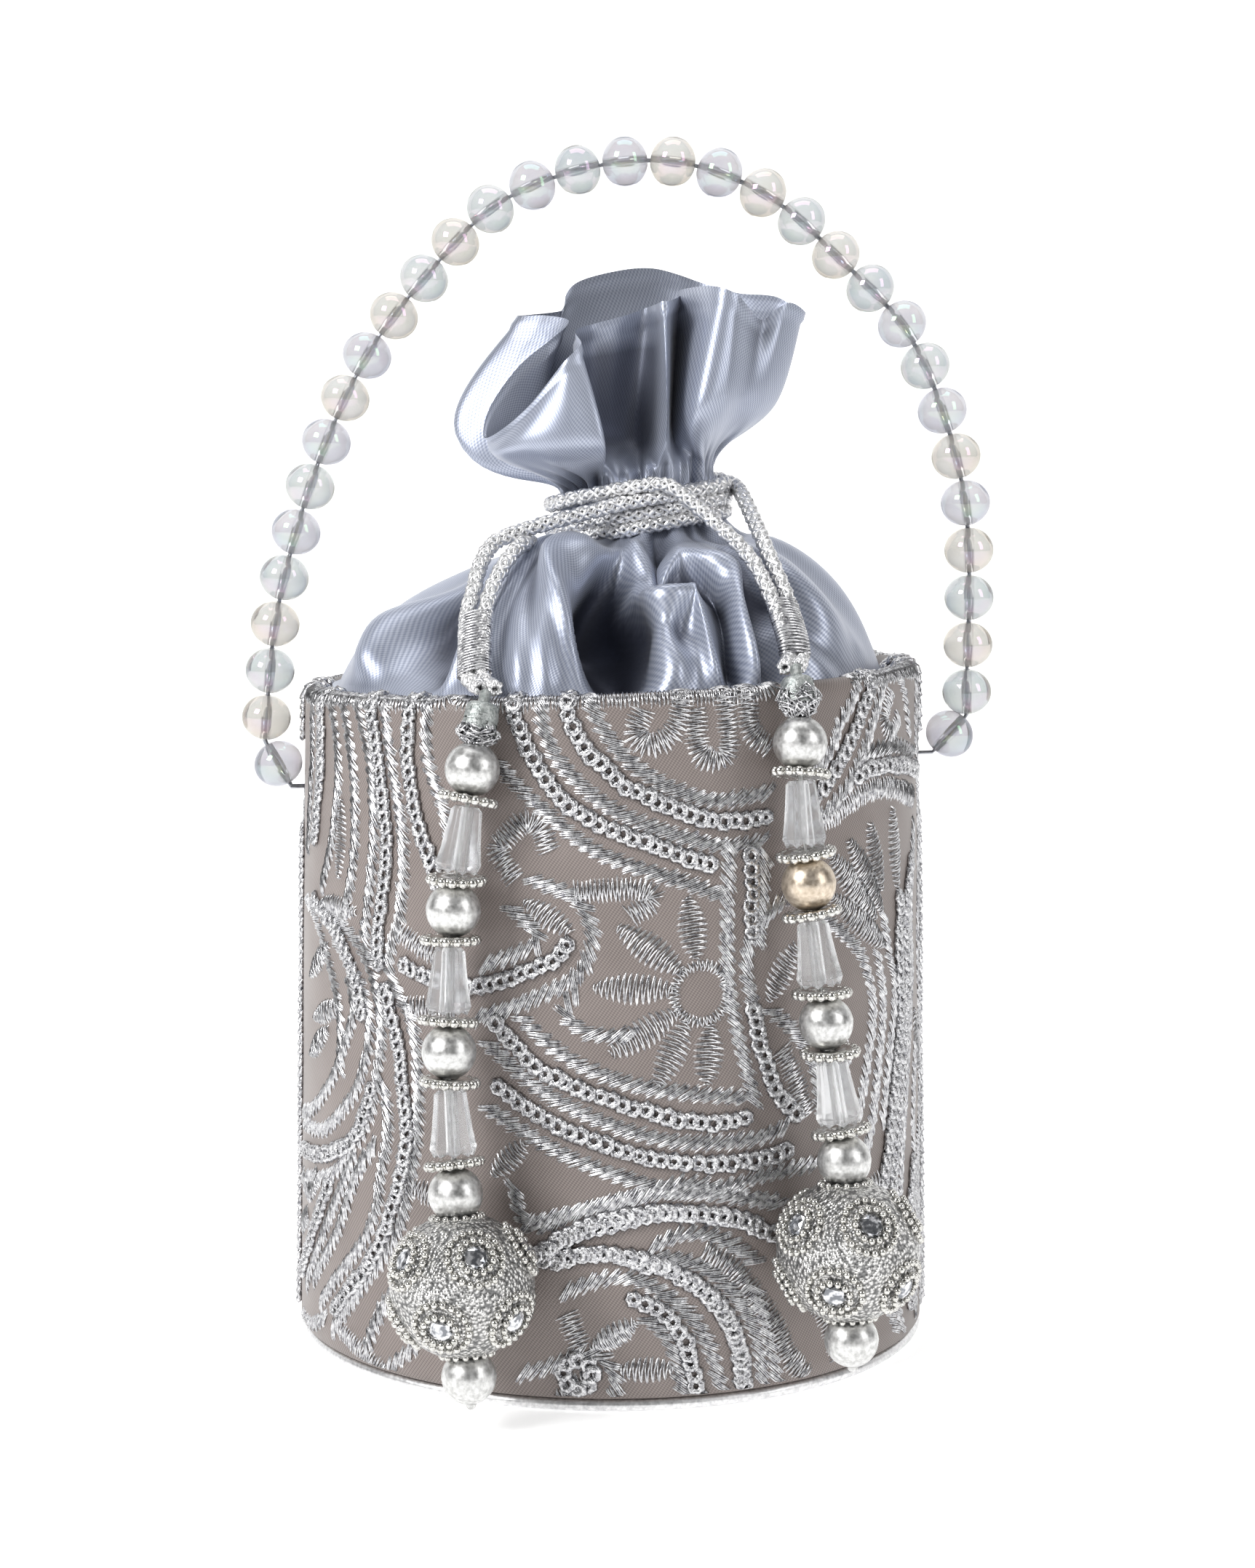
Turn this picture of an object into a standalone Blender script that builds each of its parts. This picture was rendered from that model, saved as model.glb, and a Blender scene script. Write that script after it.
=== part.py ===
"""Potli bag: a stiff embroidered bucket with a satin drawstring pouch rising out of it.

The pouch is cinched at its neck by two cords that go twice round it. Each cord's two ends hang over the
rim together and carry a tassel of beads, clear cones and a jewelled ball. A wire strung with round beads
arches over the pouch as the handle, and turns in two holes in the wall.

Frame: +Z up, the front is -Y, and the origin is the centre of the underside. Lengths are in metres.
"""

import math

import bmesh
import bpy
from mathutils import Matrix, Vector

MM = 0.001
GAP = 0.3 * MM  # between pieces that touch

# Bucket wall
WALL_HEIGHT = 133.5 * MM
RIM_RISE = 2.5 * MM  # the rim is this much higher at the right, and this much lower at the left
RIM_RADIUS = 61.5 * MM
BASE_RADIUS = 63.8 * MM
COVER_THICKNESS = 1.0 * MM
BOARD_THICKNESS = 2.2 * MM
TURN_IN = 9.0 * MM  # how far the cover turns down inside the rim
EMBROIDERY = 0.9 * MM  # height of the stitches, kept free in front of the cover
PIPING_RADIUS = 1.1 * MM
PIPING_CLEAR = 0.4 * MM  # of the wall's foot over the piping

# Satin pouch
SATIN_THICKNESS = 0.9 * MM  # satin and its lining
NECK_X = 5.5 * MM
NECK_HEIGHT = 166.8 * MM
NECK_RADIUS = 15.6 * MM
NECK_REACH = 7.4 * MM  # the gathers reach this far below and above their middle
NECK_TOP = 6.6 * MM  # from their middle to where the ruffle starts
NECK_TILT = math.radians(12)  # the gathers sit higher at the right

# Drawcords
CORD_RADIUS = 1.3 * MM
CORD_POINT_SPACING = 7.2 * MM
TURN_POINTS = 14

# Handle
PIVOT_DEPTH_LEFT = 23.3 * MM  # of the wire's holes under the wall's top
PIVOT_DEPTH_RIGHT = 16.6 * MM
PIVOT_LEFT = Vector((-RIM_RADIUS - 0.8 * MM, 0, WALL_HEIGHT - PIVOT_DEPTH_LEFT))
PIVOT_RIGHT = Vector((RIM_RADIUS + 1.3 * MM, 0, WALL_HEIGHT - PIVOT_DEPTH_RIGHT))
WIRE_RADIUS = 0.8 * MM
WIRE_KNOT_RADIUS = 2.0 * MM
WIRE_KNOT_LENGTH = 0.9 * MM
KNOT_STEP = 0.05 * MM  # over which the knot narrows to the wire
HANDLE_BEAD_RADIUS = 5.0 * MM
HANDLE_BEAD_LENGTH = 9.2 * MM
HANDLE_BEAD_PLAY = 0.6 * MM  # of the wire in the bead's bore
WIRE_EXIT = 2.6 * MM  # straight stretch of wire outside the wall

# Tassels
BEAD_RADIUS = 5.0 * MM
SPACER_RADIUS = 5.5 * MM
SPACER_THICKNESS = 2.0 * MM
SPACER_ROUNDING = 1.1 * MM
CONE_LENGTH = 12.2 * MM
CONE_TOP_RADIUS = 2.8 * MM
CONE_BOTTOM_RADIUS = 4.0 * MM
CONE_LIP = 0.4 * MM
BALL_RADIUS = 13.2 * MM
MEDALLION_RADIUS = 5.0 * MM
MEDALLION_HEIGHT = 0.9 * MM
MEDALLION_ROOT = 1.5 * MM  # how far a medallion's foot goes under the ball's surface
MEDALLIONS_A_RING = 5
BALL_BORE = 3.6 * MM
CAP_RADIUS = 3.1 * MM
CAP_LENGTH = 4.8 * MM
CAP_EDGE = 0.5 * MM
STEM_LENGTH = 2.0 * MM
STEM_RADIUS = 1.1 * MM
KNOT_LENGTH = 2.2 * MM
KNOT_RADIUS = 1.8 * MM
STRING_RADIUS = 0.5 * MM
STRING_BORE = 1.3 * MM
SWING_STANDOFF = 3.4 * MM  # the cord's bend over the rim, out from the wall

WALL_SEGMENTS = 40
POUCH_SEGMENTS = 40
SMALL_SEGMENTS = 10
BEAD_SEGMENTS = 9

for old in list(bpy.data.objects):
    bpy.data.objects.remove(old, do_unlink=True)

BAG = bpy.data.collections.new("potli_bag")
CUTTERS = bpy.data.collections.new("cutters")
bpy.context.scene.collection.children.link(BAG)
bpy.context.scene.collection.children.link(CUTTERS)


def material(name, colour, roughness, metallic=0.0, alpha=1.0):
    made = bpy.data.materials.new(name)
    made.use_nodes = True
    shader = made.node_tree.nodes["Principled BSDF"]
    shader.inputs["Base Color"].default_value = (*colour, 1.0)
    shader.inputs["Roughness"].default_value = roughness
    shader.inputs["Metallic"].default_value = metallic
    shader.inputs["Alpha"].default_value = alpha
    return made


EMBROIDERED = material("embroidered_taupe", (0.42, 0.38, 0.37), 0.6, 0.3)
BOARD = material("grey_board", (0.45, 0.42, 0.38), 0.9)
SATIN = material("blue_grey_satin", (0.36, 0.39, 0.50), 0.35)
SILVER_CORD = material("silver_cord", (0.62, 0.62, 0.64), 0.4, 0.7)
SILVER = material("satin_silver", (0.66, 0.66, 0.66), 0.35, 1.0)
GOLD = material("champagne_gold", (0.72, 0.58, 0.42), 0.35, 1.0)
CLEAR = material("clear_acrylic", (0.92, 0.93, 0.95), 0.08, 0.0, 0.4)
WIRE = material("grey_wire", (0.20, 0.21, 0.24), 0.5)


def add_object(name, mesh, finish, collection=BAG):
    made = bpy.data.objects.new(name, mesh)
    collection.objects.link(made)
    if finish is not None:
        mesh.materials.append(finish)
    return made


def evaluated_mesh(source):
    """The object's mesh with its modifiers applied and its points in world space."""
    bpy.context.view_layer.update()
    graph = bpy.context.evaluated_depsgraph_get()
    mesh = bpy.data.meshes.new_from_object(source.evaluated_get(graph))
    mesh.transform(source.matrix_world)
    work = bmesh.new()
    work.from_mesh(mesh)
    bmesh.ops.remove_doubles(work, verts=work.verts, dist=0.00001)
    bmesh.ops.recalc_face_normals(work, faces=work.faces)
    work.to_mesh(mesh)
    work.free()
    return mesh


def turned(name, profile, finish, segments=SMALL_SEGMENTS, closed=False, collection=BAG):
    """A solid of revolution about local Z. The profile holds (radius, height) and runs down its outer side."""
    mesh = bpy.data.meshes.new(name)
    points = [(radius, 0.0, height) for radius, height in profile]
    edges = [(i, i + 1) for i in range(len(points) - 1)]
    if closed:
        edges.append((len(points) - 1, 0))
    mesh.from_pydata(points, edges, [])
    made = add_object(name, mesh, finish, collection)
    screw = made.modifiers.new("turn", "SCREW")
    screw.steps = segments
    screw.render_steps = segments
    screw.use_merge_vertices = True
    screw.merge_threshold = 0.00001
    screw.use_smooth_shade = True
    return made


def apply_modifiers(target):
    """Replaces the object's mesh by its evaluated one."""
    mesh = evaluated_mesh(target)
    target.modifiers.clear()
    target.matrix_world = Matrix.Identity(4)
    target.data = mesh
    return target


def combine(target, other, operation):
    """Applies one Boolean of the other object to the target, and removes the other."""
    boolean = target.modifiers.new(operation.lower(), "BOOLEAN")
    boolean.operation = operation
    boolean.object = other
    boolean.solver = "EXACT"
    apply_modifiers(target)
    bpy.data.objects.remove(other, do_unlink=True)
    return target


def tube(name, points, radius, finish, radii=None, resolution=2):
    """A closed round tube along the points, with a radius factor at each one where radii gives it."""
    curve = bpy.data.curves.new(name, "CURVE")
    curve.dimensions = "3D"
    curve.bevel_depth = radius
    curve.bevel_resolution = resolution
    curve.use_fill_caps = True
    spline = curve.splines.new("POLY")
    spline.points.add(len(points) - 1)
    for i, (place, point) in enumerate(zip(points, spline.points)):
        point.co = (*place, 1.0)
        point.radius = radii[i] if radii else 1.0
    return add_object(name, curve, finish)


def smooth_through(knots, parameter):
    """A point of the Catmull-Rom curve through the knots, at a parameter from 0 to len(knots) - 1."""
    last = len(knots) - 1
    i = min(int(parameter), last - 1)
    t = parameter - i
    before = knots[max(i - 1, 0)]
    start = knots[i]
    end = knots[i + 1]
    after = knots[min(i + 2, last)]
    return 0.5 * (
        2 * start
        + (end - before) * t
        + (2 * before - 5 * start + 4 * end - after) * t * t
        + (3 * start - before - 3 * end + after) * t**3
    )


def evenly_along(knots, spacing=None, count=None):
    """Points at equal arc lengths along the smooth curve through the knots."""
    fine = 24
    samples = [smooth_through(knots, i / fine) for i in range((len(knots) - 1) * fine + 1)]
    lengths = [0.0]
    for a, b in zip(samples, samples[1:]):
        lengths.append(lengths[-1] + (b - a).length)
    if count is None:
        count = max(2, round(lengths[-1] / spacing) + 1)
    found = []
    j = 0
    for i in range(count):
        wanted = lengths[-1] * i / (count - 1)
        while j < len(lengths) - 2 and lengths[j + 1] < wanted:
            j += 1
        share = (wanted - lengths[j]) / (lengths[j + 1] - lengths[j])
        found.append(samples[j].lerp(samples[j + 1], min(max(share, 0.0), 1.0)))
    return found


def wall_radius(height):
    """Outer radius of the cover at a height."""
    return BASE_RADIUS + (RIM_RADIUS - BASE_RADIUS) * height / WALL_HEIGHT


def rim_height(x):
    return WALL_HEIGHT + RIM_RISE * x / RIM_RADIUS


def lean_rim(target):
    """Raises the right and lowers the left of a wall piece, in proportion to its height."""
    for vertex in target.data.vertices:
        x, _, z = vertex.co
        vertex.co.z = z + RIM_RISE * (x / RIM_RADIUS) * (z / WALL_HEIGHT)


def arc(centre, radius, start_deg, end_deg, steps):
    """Points (radius, height) of an arc, with its angles measured from +X."""
    found = []
    for i in range(steps + 1):
        angle = math.radians(start_deg + (end_deg - start_deg) * i / steps)
        found.append((centre[0] + radius * math.cos(angle), centre[1] + radius * math.sin(angle)))
    return found


# Bucket wall: cover, board, piping
BOARD_OUT = COVER_THICKNESS + GAP  # from the cover's outer face to the board's
BOARD_IN = BOARD_OUT + BOARD_THICKNESS
FLANGE_OUT = BOARD_IN + GAP
FLANGE_IN = FLANGE_OUT + COVER_THICKNESS
LINING_OUT = FLANGE_IN + GAP  # the satin hangs just inside the cover's turned edge
PIPING_SEAT = 2 * PIPING_RADIUS + GAP
BOARD_FOOT = PIPING_SEAT + COVER_THICKNESS + PIPING_CLEAR + GAP
LINING_FLOOR = BOARD_FOOT + BOARD_THICKNESS + GAP


def make_cover():
    """The embroidered cover: bottom, wall and the edge turned in over the board, in one shell."""
    rim_roll = FLANGE_IN / 2
    roll_centre = (RIM_RADIUS - rim_roll, WALL_HEIGHT - rim_roll)
    seat = BASE_RADIUS - PIPING_SEAT
    inner = seat - COVER_THICKNESS
    profile = [
        (0.0, COVER_THICKNESS),
        (inner - COVER_THICKNESS, COVER_THICKNESS),
        (inner, PIPING_SEAT + COVER_THICKNESS + PIPING_CLEAR),
        (BASE_RADIUS - COVER_THICKNESS, PIPING_SEAT + COVER_THICKNESS + PIPING_CLEAR),
        (wall_radius(WALL_HEIGHT / 2) - COVER_THICKNESS, WALL_HEIGHT / 2),
    ]
    profile += arc(roll_centre, rim_roll - COVER_THICKNESS, 0, 180, 3)
    profile += [
        (RIM_RADIUS - FLANGE_OUT, WALL_HEIGHT - rim_roll - TURN_IN),
        (RIM_RADIUS - FLANGE_IN, WALL_HEIGHT - rim_roll - TURN_IN),
    ]
    profile += arc(roll_centre, rim_roll, 180, 0, 4)
    profile += [
        (wall_radius(WALL_HEIGHT / 2), WALL_HEIGHT / 2),
        (BASE_RADIUS, PIPING_SEAT + PIPING_CLEAR),
        (seat, PIPING_SEAT + PIPING_CLEAR / 2),
        (seat - PIPING_CLEAR, 0.0),
        (0.0, 0.0),
    ]
    cover = turned("outer_cover", profile, EMBROIDERED, WALL_SEGMENTS)
    apply_modifiers(cover)
    lean_rim(cover)
    return cover


def make_stiffener():
    """The grey-board bucket inside the cover: a tube and the disc glued into its foot."""
    foot = BOARD_FOOT
    top = WALL_HEIGHT - COVER_THICKNESS - 3 * GAP
    floor_top = foot + BOARD_THICKNESS
    profile = [
        (0.0, floor_top),
        (BASE_RADIUS - BOARD_IN, floor_top),
        (RIM_RADIUS - BOARD_IN - 2 * GAP / 3, top - BOARD_THICKNESS),
        (RIM_RADIUS - BOARD_IN + BOARD_THICKNESS / 3, top - BOARD_THICKNESS / 3),
        (RIM_RADIUS - BOARD_OUT - BOARD_THICKNESS / 3, top - BOARD_THICKNESS / 3),
        (RIM_RADIUS - BOARD_OUT - 2 * GAP / 3, top - BOARD_THICKNESS),
        (BASE_RADIUS - BOARD_OUT, foot),
        (0.0, foot),
    ]
    board = turned("stiffener", profile, BOARD, WALL_SEGMENTS)
    apply_modifiers(board)
    lean_rim(board)
    return board


def make_piping():
    """The silver piping round the foot, in the seam between wall and bottom."""
    centre = (BASE_RADIUS - PIPING_RADIUS, PIPING_RADIUS + GAP / 2)
    ring = arc(centre, PIPING_RADIUS, 90, -270, 6)[:-1]
    return turned("base_piping", ring, SILVER_CORD, WALL_SEGMENTS, closed=True)


def cut_wire_holes(piece):
    """Bores both wire holes along the handle's axis through a wall piece."""
    across = PIVOT_RIGHT - PIVOT_LEFT
    bpy.ops.mesh.primitive_cylinder_add(
        vertices=10, radius=WIRE_RADIUS + GAP, depth=across.length + 20 * MM
    )
    drill = bpy.context.active_object
    drill.name = "wire_drill"
    drill.matrix_world = Matrix.Translation((PIVOT_LEFT + PIVOT_RIGHT) / 2) @ along(across)
    for holder in list(drill.users_collection):
        holder.objects.unlink(drill)
    CUTTERS.objects.link(drill)
    drill.hide_render = True
    drill.display_type = "WIRE"
    return combine(piece, drill, "DIFFERENCE")


def along(direction, facing=Vector((0, 1, 0))):
    """A rotation that takes local +Z to the direction and keeps local X across the facing one."""
    z = direction.normalized()
    x = facing.cross(z).normalized()
    y = z.cross(x)
    return Matrix((x, y, z)).transposed().to_4x4()


# Satin pouch. Heights are over the base; x is where the ring's centre lies.
INSIDE_RADIUS = RIM_RADIUS - LINING_OUT
FOOT_INSIDE_RADIUS = min(INSIDE_RADIUS, BASE_RADIUS - BOARD_IN - 2 * GAP)
DOME_RINGS = [
    # height, radius, how deep the folds are
    (LINING_FLOOR, FOOT_INSIDE_RADIUS - 4.0 * MM, 0.0),
    (LINING_FLOOR + 3.0 * MM, FOOT_INSIDE_RADIUS, 0.0),
    (WALL_HEIGHT - 8.0 * MM, INSIDE_RADIUS, 0.0),
    (WALL_HEIGHT - 2.5 * MM, INSIDE_RADIUS - 0.8 * MM, 0.15),
    (WALL_HEIGHT + 4.5 * MM, 0.943 * INSIDE_RADIUS, 0.5),
    (WALL_HEIGHT + 11.0 * MM, 0.879 * INSIDE_RADIUS, 0.85),
    (WALL_HEIGHT + 17.0 * MM, 0.780 * INSIDE_RADIUS, 1.0),
    (WALL_HEIGHT + 22.0 * MM, 0.649 * INSIDE_RADIUS, 1.0),
    (WALL_HEIGHT + 25.5 * MM, 0.504 * INSIDE_RADIUS, 0.8),
    (WALL_HEIGHT + 25.8 * MM, 0.408 * INSIDE_RADIUS, 0.5),
]
# Folds of the dome: angle from the front towards the right, depth, half-width
DOME_FOLDS = [
    (-172, 5.0, 11),
    (-140, 6.0, 11),
    (-110, 4.8, 9),
    (-83, 5.2, 10),
    (-54, 7.0, 10),
    (-29, 4.0, 8),
    (-3, 8.0, 9),
    (18, 5.0, 7),
    (39, 6.0, 8),
    (66, 4.6, 9),
    (95, 5.8, 10),
    (125, 4.8, 10),
    (155, 5.8, 10),
]
# The ruffle's edge: angle from the front, radius at its widest, radius at the edge, height of the edge
RUFFLE_EDGE = [
    (-180, 22, 16, 214.5),
    (-140, 26, 19, 211.0),
    (-110, 32, 22, 206.5),
    (-84, 35, 25, 204.5),
    (-58, 31, 25, 199.0),
    (-32, 25, 20, 203.0),
    (-10, 21, 17, 196.0),
    (14, 23, 20, 204.0),
    (38, 27, 26, 208.0),
    (66, 33, 32, 208.0),
    (88, 33, 32, 206.0),
    (112, 29, 26, 209.5),
    (146, 24, 20, 212.0),
]
RUFFLE_FOLDS = [
    (-160, 3.4, 10),
    (-122, 3.0, 9),
    (-96, 2.0, 7),
    (-64, 3.8, 7),
    (-34, 2.0, 7),
    (-8, 4.4, 8),
    (26, 4.2, 7),
    (52, 2.2, 6),
    (79, 3.2, 7),
    (104, 3.4, 8),
    (134, 3.2, 9),
]
RUFFLE_STEPS = [0.16, 0.34, 0.54, 0.74, 0.9, 1.0]
RUFFLE_WIDEST = 0.62  # share of the way up at which the ruffle is widest


def fold_depth(folds, degrees):
    """How far the folds draw the cloth inwards at an angle round the bag."""
    depth = 0.0
    for middle, deep, half_width in folds:
        away = (degrees - middle + 180) % 360 - 180
        depth += deep * MM * math.exp(-((away / half_width) ** 2))
    return depth


def edge_value(column, degrees):
    """One column of the ruffle's edge, blended smoothly round the angle."""
    degrees = (degrees + 180) % 360 - 180
    for i, row in enumerate(RUFFLE_EDGE):
        after = RUFFLE_EDGE[(i + 1) % len(RUFFLE_EDGE)]
        span = (after[0] - row[0]) % 360
        into = (degrees - row[0]) % 360
        if into <= span:
            share = into / span
            ease = share * share * (3 - 2 * share)
            return row[column] + (after[column] - row[column]) * ease
    return RUFFLE_EDGE[0][column]


def neck_rise(x):
    return (x - NECK_X) * math.tan(NECK_TILT)


def dome_point(height, radius, folding, degrees):
    """A point of the dome. Its rings move over to the neck and tilt as they rise."""
    angle = math.radians(degrees)
    risen = max(0.0, (height - WALL_HEIGHT) / (NECK_HEIGHT - WALL_HEIGHT))
    r = radius - folding * fold_depth(DOME_FOLDS, degrees)
    x = r * math.sin(angle) + NECK_X * risen
    y = -r * math.cos(angle)
    tilt = neck_rise(x) * 0.6 * risen**2
    return Vector((x, y, height + tilt))


def neck_point(level, degrees):
    """A point of the gathered neck, level metres above its middle."""
    angle = math.radians(degrees)
    r = NECK_RADIUS - 0.22 * fold_depth(DOME_FOLDS, degrees)
    x = NECK_X + r * math.sin(angle)
    return Vector((x, -r * math.cos(angle), NECK_HEIGHT + level + neck_rise(x)))


def ruffle_point(share, degrees):
    """A point of the ruffle, share of the way from the neck to the edge."""
    angle = math.radians(degrees)
    widest = edge_value(1, degrees) * MM
    at_edge = edge_value(2, degrees) * MM
    top = edge_value(3, degrees) * MM
    bulge = math.sin(math.pi / 2 * min(1.0, share / RUFFLE_WIDEST))
    r = NECK_RADIUS + (widest - NECK_RADIUS) * bulge
    if share > RUFFLE_WIDEST:
        r += (at_edge - widest) * ((share - RUFFLE_WIDEST) / (1 - RUFFLE_WIDEST)) ** 1.5
    r -= fold_depth(RUFFLE_FOLDS, degrees) * min(1.0, share * 2)
    x = NECK_X + r * math.sin(angle)
    start = NECK_HEIGHT + NECK_TOP + neck_rise(x) * (1 - share)
    return Vector((x, -r * math.cos(angle), start + (top - start) * share))


def make_pouch():
    """The satin bag: lining, dome, gathered neck and ruffle as one cloth, closed at the bottom."""
    angles = [360 * i / POUCH_SEGMENTS for i in range(POUCH_SEGMENTS)]
    rings = [[dome_point(*ring, a) for a in angles] for ring in DOME_RINGS]
    for level in (-NECK_REACH, 0.0, NECK_TOP):
        rings.append([neck_point(level, a) for a in angles])
    for share in RUFFLE_STEPS:
        rings.append([ruffle_point(share, a) for a in angles])
    work = bmesh.new()
    loops = [[work.verts.new(point) for point in ring] for ring in rings]
    bottom = work.verts.new((0, 0, rings[0][0].z))
    for i in range(POUCH_SEGMENTS):
        j = (i + 1) % POUCH_SEGMENTS
        work.faces.new((bottom, loops[0][j], loops[0][i]))
        for low, high in zip(loops, loops[1:]):
            work.faces.new((low[i], low[j], high[j], high[i]))
    bmesh.ops.recalc_face_normals(work, faces=work.faces)
    mesh = bpy.data.meshes.new("satin_pouch")
    work.to_mesh(mesh)
    work.free()
    mesh.shade_smooth()
    pouch = add_object("satin_pouch", mesh, SATIN)
    shell = pouch.modifiers.new("cloth", "SOLIDIFY")
    shell.thickness = SATIN_THICKNESS
    shell.offset = -1.0
    return pouch


# Tassels: each hangs over the rim at an angle from the front, as a chain of pieces on one string
class Tassel:
    def __init__(self, side, degrees, hinge_rise, leans, gold_bead):
        angle = math.radians(degrees)
        self.side = side
        self.out = Vector((math.sin(angle), -math.cos(angle), 0))
        self.across = Vector((math.cos(angle), math.sin(angle), 0))
        x = (RIM_RADIUS + SWING_STANDOFF) * math.sin(angle)
        self.hinge = self.out * (RIM_RADIUS + SWING_STANDOFF)
        self.hinge.z = rim_height(x) + hinge_rise
        self.leans = leans  # sideways lean of each link, in degrees to the right
        self.gold_bead = gold_bead


LINKS = ("cap", "bead_1", "cone_1", "bead_2", "cone_2", "bead_3", "cone_3", "bead_4", "ball", "end_bead")
CAP_OUTWARD_LEAN = 19.0
LEFT_TASSEL = Tassel("left", -20.5, 1.2 * MM, (-4, -6, -7, -4, 1, 4, 6, 5, 7, 7), 0)
RIGHT_TASSEL = Tassel("right", 31.5, 3.2 * MM, (-7, -3, 1, 3, 5, 6, 6, 3, -1, -1), 2)

SPACER_OVERLAP = 0.5 * MM  # the bead's pole sits this deep in the spacer's hole
BEAD_UNIT = 2 * (BEAD_RADIUS + SPACER_THICKNESS - SPACER_OVERLAP)
POLE = math.sqrt(BEAD_RADIUS**2 - STRING_BORE**2)  # from a bead's centre to the rim of its bore
BALL_SEAT = math.sqrt(BALL_RADIUS**2 - BALL_BORE**2) + math.sqrt(BEAD_RADIUS**2 - BALL_BORE**2) + GAP


def link_lengths():
    """Length of string that each link takes, with the gap below it."""
    half_unit = BEAD_UNIT / 2
    return {
        "cap": STEM_LENGTH + CAP_LENGTH + KNOT_LENGTH + GAP,
        "bead_1": POLE + half_unit + GAP,
        "cone_1": CONE_LENGTH + GAP,
        "bead_2": BEAD_UNIT + GAP,
        "cone_2": CONE_LENGTH + GAP,
        "bead_3": BEAD_UNIT + GAP,
        "cone_3": CONE_LENGTH + GAP,
        "bead_4": half_unit,
        "ball": BALL_SEAT,
        "end_bead": BALL_SEAT,
    }


def settled_lean(tassel):
    """The outward lean, in degrees, at which the ball hangs just clear of the stitches on the wall."""
    low = 0.0
    high = 20.0
    clear = BALL_RADIUS + MEDALLION_HEIGHT + GAP + EMBROIDERY
    for _ in range(30):
        lean = (low + high) / 2
        chain = hang(tassel, lean)
        place, down = chain["ball"]
        centre = place + down * BALL_SEAT
        if math.hypot(centre.x, centre.y) - wall_radius(centre.z) < clear:
            low = lean
        else:
            high = lean
    return high


def hang(tassel, outward_lean):
    """Start point and downward direction of each link, from the hinge down."""
    lengths = link_lengths()
    place = tassel.hinge.copy()
    found = {}
    for name, lean in zip(LINKS, tassel.leans):
        outward = CAP_OUTWARD_LEAN if name == "cap" else outward_lean
        side = math.radians(lean)
        forward = math.radians(outward)
        down = (
            tassel.across * math.sin(side)
            + tassel.out * math.cos(side) * math.sin(forward)
            - Vector((0, 0, 1)) * math.cos(side) * math.cos(forward)
        )
        found[name] = (place.copy(), down)
        place += down * lengths[name]
    found["foot"] = (place, down)
    return found


def strung(name, profile, finish, place, down, segments=SMALL_SEGMENTS):
    """A turned piece whose local +Z points back up the string, put at its place on it."""
    made = turned(name, profile, finish, segments)
    made.matrix_world = Matrix.Translation(place) @ along(-down)
    return made


def ellipse_side(radius, half_length, bore, steps):
    """The outer side of a bead from the top of its bore to the bottom."""
    start = math.degrees(math.acos(bore / radius))
    found = []
    for i in range(steps + 1):
        angle = math.radians(start - 2 * start * i / steps)
        found.append((radius * math.cos(angle), half_length * math.sin(angle)))
    return found


def spacer_side(top):
    """The outer side of a granulated ring, from its top face down."""
    low = top - SPACER_THICKNESS
    face = SPACER_RADIUS - SPACER_ROUNDING
    return [
        (face, top),
        (SPACER_RADIUS, top - SPACER_THICKNESS * 0.3),
        (SPACER_RADIUS, low + SPACER_THICKNESS * 0.3),
        (face, low),
    ]


def bead_profile(ring_above, ring_below):
    """A round bead, with the ring that it carries above, below or both, about its centre."""
    top = BEAD_UNIT / 2
    side = ellipse_side(BEAD_RADIUS, BEAD_RADIUS, STRING_BORE, 6)
    profile = []
    if ring_above:
        profile += [(STRING_BORE, top)] + spacer_side(top)
        side = [p for p in side if p[1] < BEAD_RADIUS * 0.8]
    if ring_below:
        side = [p for p in side if p[1] > -BEAD_RADIUS * 0.8]
    profile += side
    if ring_below:
        profile += spacer_side(SPACER_THICKNESS - top) + [(STRING_BORE, -top)]
    return profile


def make_bead(tassel, number, chain):
    """A silver bead with its spacer rings. The first has one below it, and the last has one above it."""
    name = f"bead_{number}"
    place, down = chain[name]
    above = number > 1
    below = number < 4
    to_centre = BEAD_UNIT / 2 if above else POLE
    finish = GOLD if number == tassel.gold_bead else SILVER
    piece = turned(f"{tassel.side}_{name}", bead_profile(above, below), finish, SMALL_SEGMENTS, closed=True)
    piece.matrix_world = Matrix.Translation(place + down * to_centre) @ along(-down)
    return piece


def make_cone(tassel, number, chain):
    """A clear cone, wider at its foot, with both ends rounded off."""
    place, down = chain[f"cone_{number}"]
    profile = [
        (STRING_BORE, 0.0),
        (CONE_TOP_RADIUS - CONE_LIP, 0.0),
        (CONE_TOP_RADIUS, -2 * CONE_LIP),
        (CONE_BOTTOM_RADIUS, -CONE_LENGTH + 2 * CONE_LIP),
        (CONE_BOTTOM_RADIUS - CONE_LIP, -CONE_LENGTH),
        (STRING_BORE, -CONE_LENGTH),
    ]
    piece = turned(f"{tassel.side}_cone_{number}", profile, CLEAR, SMALL_SEGMENTS, closed=True)
    piece.matrix_world = Matrix.Translation(place) @ along(-down)
    return piece


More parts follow.
